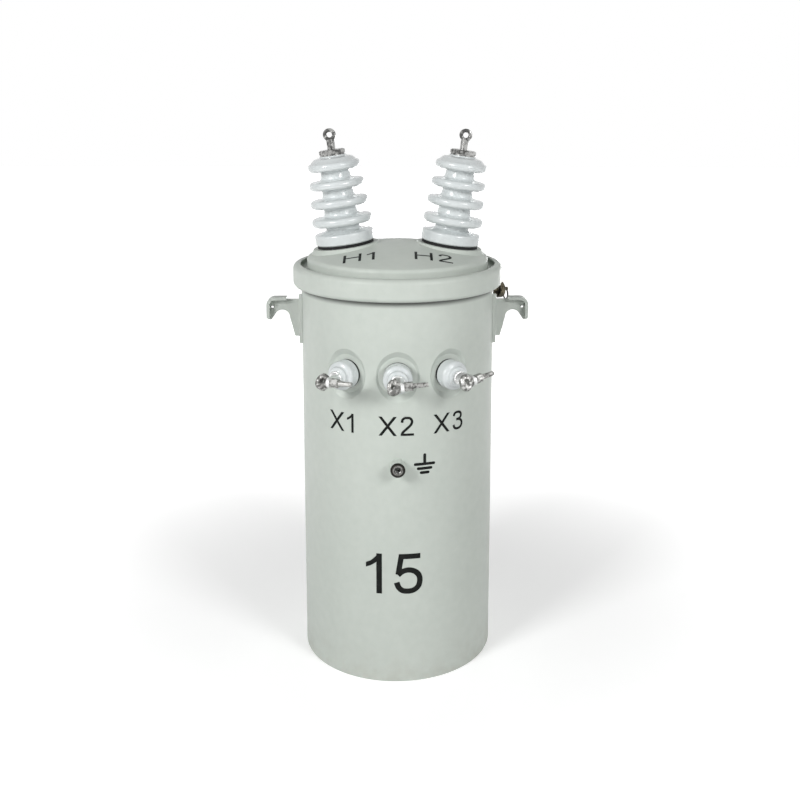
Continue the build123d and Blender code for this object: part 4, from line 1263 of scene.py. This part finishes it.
@dataclass
class WeldBeads(SubAssembly):
    """Painted weld beads where fittings and sheets join the tank."""

    bead: float = 0.0024
    bead_sides: int = 10
    ripple_scale: float = 130.0
    touch: float = 0.0004
    edge_reach: float = 0.012
    side_gap: float = 0.0010
    end_gap: float = 0.002
    hanger_sink: float = 0.5
    boss_share: float = 0.7
    boss_grow: float = 0.0006
    boss_points: int = 48
    seam_bead: float = 0.0016
    seam_angle: float = 151.0
    seam_low: float = 0.012
    seam_gap: float = 0.004
    seam_sink: float = 0.0006

    def build(self) -> None:
        """Grows every bead."""
        self.sheet = self._tree()
        self.radius = tank_radius()
        for side in ("left", "right"):
            self._along_foot(f"lifting_lug_{side}", 0.0, "hook_enamel")
        for side in ("upper", "lower"):
            self._along_foot(f"hanger_{side}", self.hanger_sink, "tank_enamel")
        self._round_boss()
        self._seam()

    def _on_wall(self, angle: float, height: float, out: float) -> Vector:
        """A point out from the tank wall, at an angle in radians from the front to +X."""
        reach = self.radius + out
        return Vector((reach * math.sin(angle), -reach * math.cos(angle), height))

    def _along_foot(self, node: str, inset: float, finish: str) -> None:
        """Lays a bead along each upright edge of a fitting's foot.

        Args:
            node: The fitting's node.
            inset: Share of the bead's radius by which it sinks in the wall.
            finish: The bead's finish.
        """
        skin = [vert.co for vert in packed(node).vertices]
        nearest = min(math.hypot(point.x, point.y) for point in skin)
        within = nearest + self.touch
        touching = [point for point in skin if math.hypot(point.x, point.y) < within]
        angles = [math.atan2(point.x, -point.y) % (2 * math.pi) for point in touching]
        if max(angles) - min(angles) > math.pi:
            angles = [a - 2 * math.pi if a > math.pi else a for a in angles]
        for count, edge in enumerate((min(angles), max(angles))):
            near = [p.z for p, a in zip(touching, angles) if abs(a - edge) < self.edge_reach]
            place = edge + self.side_gap / self.radius * (1 if count else -1)
            heights = (min(near) + self.end_gap, max(near) - self.end_gap)
            points = [self._on_wall(place, height, -self.bead * inset) for height in heights]
            self._grow(f"{node}_weld_{count + 1}", points, self.bead, finish)

    def _round_boss(self) -> None:
        """Lays a bead round the ground boss."""
        low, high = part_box("ground_boss")
        middle = (low + high) / 2
        reach = (high.z - low.z) / 2 + self.boss_grow
        points = []
        for step in range(self.boss_points):
            turn = 2 * math.pi * step / self.boss_points
            x = middle.x + reach * math.cos(turn)
            z = middle.z + reach * math.sin(turn)
            points.append(Vector((x, -math.sqrt(self.radius**2 - x * x), z)))
        self._grow("ground_boss_weld", points, self.bead * self.boss_share, closed=True)

    def _seam(self) -> None:
        """Lays the tank's upright seam at the back, from the foot to the band."""
        heights = (self.seam_low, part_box("cover_band")[0].z - self.seam_gap)
        angle = math.radians(self.seam_angle)
        ends = [self._on_wall(angle, height, -self.seam_sink) for height in heights]
        self._grow("tank_seam_weld", ends, self.seam_bead)

    def _grow(
        self,
        name: str,
        points: Sequence[Vector],
        bead: float,
        finish: str = "tank_enamel",
        closed: bool = False,
    ) -> None:
        """Grows one bead of a radius along a path, which a ring closes."""
        seed = path_mesh(f"{name}_path", points, closed)
        self.sheet.grow(name, seed, self.finishes[finish], Bead_Radius=bead)

    def _tree(self) -> GrowthSheet:
        """Sweeps a rippled, slightly wandering bead along a path.

        Returns:
            The tree.
        """
        sizes = {"Bead Radius": 0.0024, "Step": 0.0011, "Ripple Pitch": 0.0042, "Ripple": 0.10}
        sheet = GrowthSheet("weld_bead", {**sizes, "Wander": 0.0009, "Noise Seed": 7.0})
        given = sheet.given
        path = sheet.put("GeometryNodeMeshToCurve", {"Mesh": given["Seed Mesh"]})
        step = {"Curve": path, "Length": given["Step"]}
        fine = sheet.put("GeometryNodeResampleCurve", step, mode="LENGTH")
        spot = sheet.put("GeometryNodeInputPosition")
        seeded = {"Vector": spot, "W": given["Noise Seed"], "Detail": 2.0}
        seeded["Scale"] = self.ripple_scale
        drift = sheet.add("ShaderNodeTexNoise", seeded, noise_dimensions="4D")
        ends = {0: drift.outputs["Color"], 1: (0.5, 0.5, 0.5)}
        swing = sheet.put("ShaderNodeVectorMath", ends, operation="SUBTRACT")
        scaled = {0: swing, "Scale": given["Wander"]}
        shift = sheet.put("ShaderNodeVectorMath", scaled, operation="SCALE")
        moved = sheet.put("GeometryNodeSetPosition", {"Geometry": fine, "Offset": shift})
        along = sheet.add("GeometryNodeSplineParameter").outputs["Length"]
        phase = sheet.math("DIVIDE", along, given["Ripple Pitch"])
        wave = sheet.math("SINE", sheet.times(phase, 2 * math.pi))
        swell = sheet.plus(sheet.times(wave, given["Ripple"]), 1.0)
        section = {"Resolution": self.bead_sides, "Radius": given["Bead Radius"]}
        profile = sheet.put("GeometryNodeCurvePrimitiveCircle", section)
        return sheet.close(sheet.sweep(moved, profile, {"Scale": swell, "Fill Caps": True}))


# ---------------- lettering
def smooth_path(points: Sequence[Point2], steps: int = 8) -> List[Point2]:
    """Rounds a path with a Catmull-Rom curve through its points.

    Args:
        points: The path's points.
        steps: Number of stretches between two points.

    Returns:
        The rounded path.
    """

    def between(p: float, q: float, r: float, s: float, t: float) -> float:
        """One coordinate of the curve at a share t of the way from q to r."""
        square, cube = 2 * p - 5 * q + 4 * r - s, 3 * q - p - 3 * r + s
        return 0.5 * (2 * q + (r - p) * t + square * t**2 + cube * t**3)

    padded = [points[0], *points, points[-1]]
    path: List[Point2] = []
    for knots in zip(padded, padded[1:], padded[2:], padded[3:]):
        for step in range(steps):
            path.append(tuple(between(*row, step / steps) for row in zip(*knots)))
    return [*path, points[-1]]


def ribbon(path: Sequence[Point2], width: float, least: float = 0.35) -> Tuple[Point2, ...]:
    """Outline of a stroke of even width along a path, with mitred corners.

    Args:
        path: The stroke's centre line.
        width: The stroke's width.
        least: Least share of a mitre, which limits its reach.

    Returns:
        The outline's corners, counterclockwise.
    """
    line = [Vector(point) for point in path]
    ways = [(after - before).normalized() for before, after in zip(line, line[1:])]
    left: List[Point2] = []
    right: List[Point2] = []
    for point, first, second in zip(line, ways[:1] + ways, ways + ways[-1:]):
        way = (first + second).normalized()
        across = Vector((-way.y, way.x))
        reach = width / 2 / max(least, across.dot(Vector((-first.y, first.x))))
        left.append(tuple(point + across * reach))
        right.append(tuple(point - across * reach))
    return tuple(right + left[::-1])


@dataclass(frozen=True)
class Glyph:
    """A sign drawn as overlapping outlines, one unit high."""

    width: float
    outlines: Tuple[Tuple[Point2, ...], ...]


@dataclass(frozen=True)
class GlyphMaker:
    """Plain grotesque signs, one unit high, of one stroke width."""

    stroke: float

    def cross(self) -> Glyph:
        """The letter X.

        Returns:
            The glyph.
        """
        wide, arm = 0.92, self.stroke * 1.30
        rising = ((0.0, 0.0), (arm, 0.0), (wide, 1.0), (wide - arm, 1.0))
        falling = ((wide - arm, 0.0), (wide, 0.0), (arm, 1.0), (0.0, 1.0))
        return Glyph(wide, (rising, falling))

    def aitch(self) -> Glyph:
        """The letter H.

        Returns:
            The glyph.
        """
        wide, bar = 0.86, self.stroke * 0.92
        left = ((0.0, 0.0), (self.stroke, 0.0), (self.stroke, 1.0), (0.0, 1.0))
        right = tuple((x + wide - self.stroke, y) for x, y in left)
        low = 0.53 - bar / 2
        middle = ((0.0, low), (wide, low), (wide, low + bar), (0.0, low + bar))
        return Glyph(wide, (left, right, middle))

    def one(self) -> Glyph:
        """The numeral 1.

        Returns:
            The glyph.
        """
        edge = 0.25
        wide = edge + self.stroke
        stem = ((edge, 0.0), (wide, 0.0), (wide, 1.0), (edge, 1.0))
        under = ((0.0, 0.635), (0.10, 0.68), (0.19, 0.735), (edge + 0.01, 0.795))
        over = ((wide - 0.01, 1.0), (edge + 0.04, 1.0), (0.215, 0.905), (0.12, 0.815))
        return Glyph(wide, (stem, (*under, *over, (0.0, 0.755))))

    def two(self) -> Glyph:
        """The numeral 2.

        Returns:
            The glyph.
        """
        top, base = 1.0 - self.stroke / 2, self.stroke * 0.94
        bend = [
            (0.09, 0.69), (0.12, 0.84), (0.22, 0.925), (0.345, top), (0.48, 0.915),
            (0.578, 0.80), (0.58, 0.67), (0.50, 0.53), (0.36, 0.395), (0.22, 0.27),
            (0.12, 0.16), (0.075, 0.04),
        ]
        foot = ((0.01, 0.0), (0.69, 0.0), (0.69, base), (0.10, base))
        return Glyph(0.69, (ribbon(smooth_path(bend), self.stroke), foot))

    def three(self) -> Glyph:
        """The numeral 3.

        Returns:
            The glyph.
        """
        half = self.stroke / 2
        upper = [
            (0.085, 0.745), (0.13, 0.865), (0.22, 0.925), (0.325, 1.0 - half), (0.45, 0.91),
            (0.535, 0.82), (0.54, 0.69), (0.46, 0.595), (0.35, 0.56), (0.24, 0.553),
        ]
        lower = [
            (0.24, 0.553), (0.37, 0.55), (0.50, 0.505), (0.585, 0.40), (0.595, 0.27),
            (0.54, 0.15), (0.44, 0.085), (0.32, half), (0.20, 0.085), (0.115, 0.16),
            (0.075, 0.285),
        ]
        bowls = tuple(ribbon(smooth_path(bowl), self.stroke) for bowl in (upper, lower))
        return Glyph(0.66, bowls)

    def five(self) -> Glyph:
        """The numeral 5.

        Returns:
            The glyph.
        """
        half = self.stroke / 2
        corner = [(0.62, 1.0 - half), (0.175, 1.0 - half), (0.105, 0.485)]
        bowl = [
            (0.10, 0.475), (0.20, 0.56), (0.335, 0.595), (0.47, 0.565), (0.575, 0.47),
            (0.61, 0.33), (0.575, 0.18), (0.47, 0.09), (0.33, half), (0.20, 0.09),
            (0.115, 0.17), (0.07, 0.29),
        ]
        strokes = (ribbon(corner, self.stroke * 0.96), ribbon(smooth_path(bowl), self.stroke))
        return Glyph(0.68, strokes)

    def earth(self) -> Glyph:
        """The sign for an earth connection, with rounded strokes.

        Returns:
            The glyph.
        """
        wide = 1.02
        stem = self._capsule((wide / 2, 0.94), (wide / 2, 0.52))
        bars = ((0.06, 0.49), (0.20, 0.275), (0.34, 0.065))
        return Glyph(wide, (stem, *(self._capsule((x, y), (wide - x, y)) for x, y in bars)))

    def _capsule(self, start: Point2, end: Point2, turns: int = 8) -> Tuple[Point2, ...]:
        """Outline of a straight stroke with round ends.

        Args:
            start: Centre of the first end.
            end: Centre of the second end.
            turns: Number of stretches in each round end.

        Returns:
            The outline's corners, counterclockwise.
        """
        heading = math.atan2(end[1] - start[1], end[0] - start[0])
        half = self.stroke / 2
        points = []
        for (x, y), base in ((end, heading - math.pi / 2), (start, heading + math.pi / 2)):
            for turn in range(turns + 1):
                angle = base + math.pi * turn / turns
                points.append((x + half * math.cos(angle), y + half * math.sin(angle)))
        return tuple(points)

    def sign(self, letter: str) -> Glyph:
        """Draws one sign.

        Args:
            letter: X, H, 1, 2, 3, 5, or e for the earth sign.

        Returns:
            The glyph.
        """
        makers: Dict[str, Callable[[], Glyph]] = {
            "X": self.cross,
            "H": self.aitch,
            "1": self.one,
            "2": self.two,
            "3": self.three,
            "5": self.five,
            "e": self.earth,
        }
        return makers[letter]()


@dataclass
class Marking:
    """A painted marking and where it lies.

    The centre is an angle and a height on the wall, or X and Y on the cover.
    """

    name: str
    letters: str
    surface: Surface
    centre: Point2
    height: float
    stroke: float
    gap: float
    film: float = 0.00012
    sunk: float = 0.5
    strip: float = 0.003
    merge: float = 1e-7
    straight: float = 0.001
    above_cover: float = 2.0

    def _sheet(self) -> bmesh.types.BMesh:
        """The signs' joined outlines as one flat sheet, centred on the origin of its plane.

        Returns:
            The sheet, at a level of 1.
        """
        maker = GlyphMaker(self.stroke)
        points: List[Vector] = []
        loops: List[List[int]] = []
        pen = 0.0
        for letter in self.letters:
            glyph = maker.sign(letter)
            for line in glyph.outlines:
                loops.append(list(range(len(points), len(points) + len(line))))
                points += [Vector((x + pen, y)) * self.height for x, y in line]
            pen += glyph.width + self.gap
        middle = Vector(((pen - self.gap) / 2, 0.5)) * self.height
        points = [point - middle for point in points]
        union = delaunay_2d_cdt(points, [], loops, 1, self.merge)
        film = bmesh.new()
        corners = [film.verts.new((point.x, point.y, 1.0)) for point in union[0]]
        for triangle in union[2]:
            film.faces.new([corners[index] for index in triangle])
        loose = [vert for vert in film.verts if not vert.link_faces]
        bmesh.ops.delete(film, geom=loose, context="VERTS")
        bmesh.ops.recalc_face_normals(film, faces=film.faces)
        if film.faces[:] and film.faces[0].normal.z < 0:
            bmesh.ops.reverse_faces(film, faces=film.faces)
        lines = {"verts": film.verts, "edges": film.edges, "delimit": set()}
        bmesh.ops.dissolve_limit(film, angle_limit=self.straight, **lines)
        return film

    def _slice(self, film: bmesh.types.BMesh) -> None:
        """Cuts the sheet into narrow strips so that it bends well.

        Args:
            film: The flat sheet.
        """
        for axis in (Vector((1, 0, 0)), Vector((0, 1, 0))):
            reach = max(abs(vert.co.dot(axis)) for vert in film.verts)
            count = int(reach / self.strip) + 1
            for index in range(-count, count + 1):
                cut = axis * (index * self.strip + self.strip / 3)
                whole = film.verts[:] + film.edges[:] + film.faces[:]
                bmesh.ops.bisect_plane(film, geom=whole, plane_co=cut, plane_no=axis)

    def build(self, skin: BVHTree, radius: float, coat: Coat) -> None:
        """Thickens the sheet, lays it on its surface and adds the piece.

        Args:
            skin: Search tree of the surface.
            radius: Radius of the tank, for the wall's markings.
            coat: The marking's coat.
        """
        film = self._sheet()
        self._slice(film)
        grown = bmesh.ops.extrude_face_region(film, geom=film.faces[:])
        for vert in [item for item in grown["geom"] if isinstance(item, bmesh.types.BMVert)]:
            vert.co.z = 0.0
        bmesh.ops.recalc_face_normals(film, faces=film.faces)
        for vert in film.verts:
            across, up, level = vert.co
            if self.surface is Surface.WALL:
                angle = math.radians(self.centre[0]) + across / radius
                outward = Vector((math.sin(angle), -math.cos(angle), 0))
                start = outward * (2 * radius) + Vector((0, 0, self.centre[1] + up))
            else:
                outward = Vector((0, 0, 1))
                start = Vector((self.centre[0] + across, self.centre[1] + up, self.above_cover))
            hit = skin.ray_cast(start, -outward)[0]
            vert.co = hit + outward * (self.film * (level * (1 + self.sunk) - self.sunk))
        mesh = bpy.data.meshes.new(self.name)
        bmesh.ops.recalc_face_normals(film, faces=film.faces)
        film.to_mesh(mesh)
        film.free()
        add_piece(self.name, mesh, coat)


@dataclass
class Markings(SubAssembly):
    """Terminal markings, earth sign and rating numeral.

    The rows of the last two hold the name, signs, place, height, stroke and gap.
    """

    stroke: float = 0.130
    small: float = 0.0345
    small_gap: float = 0.16
    terminal_angles: Point3 = (-33.9, -0.9, 30.2)
    terminal_level: float = 0.4815
    earth: Tuple[object, ...] = ("earth", "e", (15.3, 0.4115), 0.0370, 0.140, 0.13)
    rating: Tuple[object, ...] = ("rating", "15", (-2.1, 0.2080), 0.0760, 0.1325, 0.27)
    cover_sign: float = 0.0370
    cover_gap: float = 0.26
    cover_places: Point2 = (-0.0680, 0.0630)
    cover_line: float = -0.1010

    def build(self) -> None:
        """Builds every marking."""
        wall, cover = Surface.WALL, Surface.COVER
        rows = []
        for side, angle in zip(LV_SIDES, self.terminal_angles):
            spot = (angle, self.terminal_level)
            rows.append((side, side.upper(), wall, spot, self.small, self.stroke, self.small_gap))
        for name, letters, *row in (self.earth, self.rating):
            rows.append((name, letters, wall, *row))
        for side, across in zip(("h1", "h2"), self.cover_places):
            spot = (across, self.cover_line)
            size = (self.cover_sign, self.stroke, self.cover_gap)
            rows.append((side, side.upper(), cover, spot, *size))
        skins = {wall: surface_tree("tank_wall"), cover: surface_tree("cover")}
        for name, *row in rows:
            marking = Marking(f"marking_{name}", *row)
            marking.build(skins[marking.surface], tank_radius(), self.finishes["marking_black"])


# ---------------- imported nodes
@dataclass
class PackedNodes(SubAssembly):
    """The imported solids, each with the finish of its record slot."""

    def build(self) -> None:
        """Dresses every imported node."""
        rows = frame["record"]["subparts"]
        slots = {row["node"]: Slot(row["material_slot"]) for row in rows}
        for name in sorted(frame["nodes"]):
            wear(frame["nodes"][name], self.finishes.for_node(name, slots[name]))


# ---------------- studio
@dataclass
class Lamp:
    """A soft box aimed at a point."""

    name: str
    place: Point3
    aim: Point3
    size: Point2
    power: float

    def build(self) -> None:
        """Adds the lamp."""
        data = bpy.data.lights.new(self.name, "AREA")
        data.shape = "RECTANGLE"
        data.size, data.size_y = self.size
        data.energy = self.power
        lamp = add_object(self.name, data)
        lamp.location = self.place
        way = Vector(self.aim) - Vector(self.place)
        lamp.rotation_euler = way.to_track_quat("-Z", "Y").to_euler()


@dataclass
class Studio:
    """Camera, pale floor, white surround and soft lamps."""

    eye: Point3 = (0.0, -1.8919, 1.0586)
    pitch: float = 9.993
    yaw: float = 1.666
    roll: float = 0.265
    focal: float = 46.50
    sensor: float = 36.0
    shift: Point2 = (-0.0342, -0.1626)
    clip: Point2 = (0.01, 100.0)
    ambient: float = 0.46
    zenith: float = 0.10
    horizon: Point2 = (0.05, 0.75)
    floor_size: float = 12.0
    floor_seen: float = 0.92
    floor_lit: float = 0.85
    floor_mottle: float = 0.97
    floor_patch: float = 3.0
    floor_roughness: float = 0.9
    glow_reach: Point2 = (0.3, 1.6)
    glow: Point2 = (0.30, 1.0)
    lamps: Tuple[Lamp, ...] = (
        Lamp("left_lamp", (-1.70, -1.85, 1.75), (0.0, 0.0, 0.14), (0.8, 0.8), 43.0),
        Lamp("right_lamp", (1.60, -1.95, 1.75), (0.0, 0.0, 0.16), (0.8, 0.8), 31.0),
        Lamp("back_lamp", (0.5, 2.6, 0.42), (0.0, 0.0, 0.38), (1.8, 0.7), 24.0),
    )

    def build(self) -> None:
        """Builds the whole studio."""
        self._camera()
        self._world()
        self._floor()
        for lamp in self.lamps:
            lamp.build()
        bpy.context.scene.view_settings.view_transform = "Standard"

    def _camera(self) -> None:
        """Adds the camera and makes it the scene's own."""
        pitch, yaw, roll = (math.radians(angle) for angle in (self.pitch, self.yaw, self.roll))
        flat = math.cos(pitch)
        ahead = Vector((math.sin(yaw) * flat, math.cos(yaw) * flat, -math.sin(pitch)))
        level = Vector((math.cos(yaw), -math.sin(yaw), 0))
        upright = level.cross(ahead)
        right = level * math.cos(roll) + upright * math.sin(roll)
        up = upright * math.cos(roll) - level * math.sin(roll)
        data = bpy.data.cameras.new("studio_camera")
        data.lens = self.focal
        data.sensor_width = self.sensor
        data.shift_x, data.shift_y = self.shift
        data.clip_start, data.clip_end = self.clip
        camera = add_object("studio_camera", data)
        turn = Matrix((right, up, -ahead)).transposed().to_4x4()
        camera.matrix_world = Matrix.Translation(Vector(self.eye)) @ turn
        bpy.context.scene.camera = camera

    def _world(self) -> None:
        """White surround, seen at full strength and lighting at a softer one."""
        world = bpy.data.worlds.new("studio_surround")
        bpy.context.scene.world = world
        world.use_nodes = True
        world.node_tree.nodes.clear()
        sheet = NodeSheet(world.node_tree)
        seen = sheet.seen()
        way = sheet.axes(sheet.add("ShaderNodeTexCoord").outputs["Generated"])
        soft = sheet.span(way["Z"], *self.horizon, self.ambient, self.zenith)
        strength = sheet.plus(seen, sheet.times(sheet.minus(1.0, seen), soft))
        glow = sheet.put("ShaderNodeBackground", {"Color": WHITE, "Strength": strength})
        sheet.add("ShaderNodeOutputWorld", {"Surface": glow})

    def _floor(self) -> None:
        """Adds a wide pale floor at the level of the tank's foot."""
        plan = bmesh.new()
        bmesh.ops.create_grid(plan, x_segments=1, y_segments=1, size=self.floor_size)
        mesh = bpy.data.meshes.new("studio_floor")
        plan.to_mesh(mesh)
        plan.free()
        sheet = PaintSheet("floor_white")
        seen = sheet.seen()
        tints = []
        for tone in (self.floor_lit, self.floor_seen):
            ends = ((grey, grey, grey, 1.0) for grey in (self.floor_mottle * tone, tone))
            tints.append(sheet.blend(sheet.patch(self.floor_patch), *ends))
        far = sheet.add("ShaderNodeVectorMath", {0: sheet.spot}, operation="LENGTH")
        glow = sheet.span(far.outputs["Value"], *self.glow_reach, *self.glow)
        sheet.dress(
            Base_Color=sheet.blend(seen, *tints),
            Emission_Color=WHITE,
            Emission_Strength=sheet.times(glow, seen),
            Roughness=self.floor_roughness,
        )
        mesh.materials.append(sheet.material)
        add_object("studio_floor", mesh)


def main() -> None:
    """Builds the studio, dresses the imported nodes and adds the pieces."""
    logging.basicConfig(level=logging.INFO, format="%(name)s %(message)s")
    Studio().build()
    finishes = FinishBook()
    for group in (PackedNodes, ShedBushing, ForgedClamps, Threads, WeldBeads, Markings):
        LOG.info("building %s", group.__name__)
        group(finishes).build()


if __name__ == "__main__":
    main()
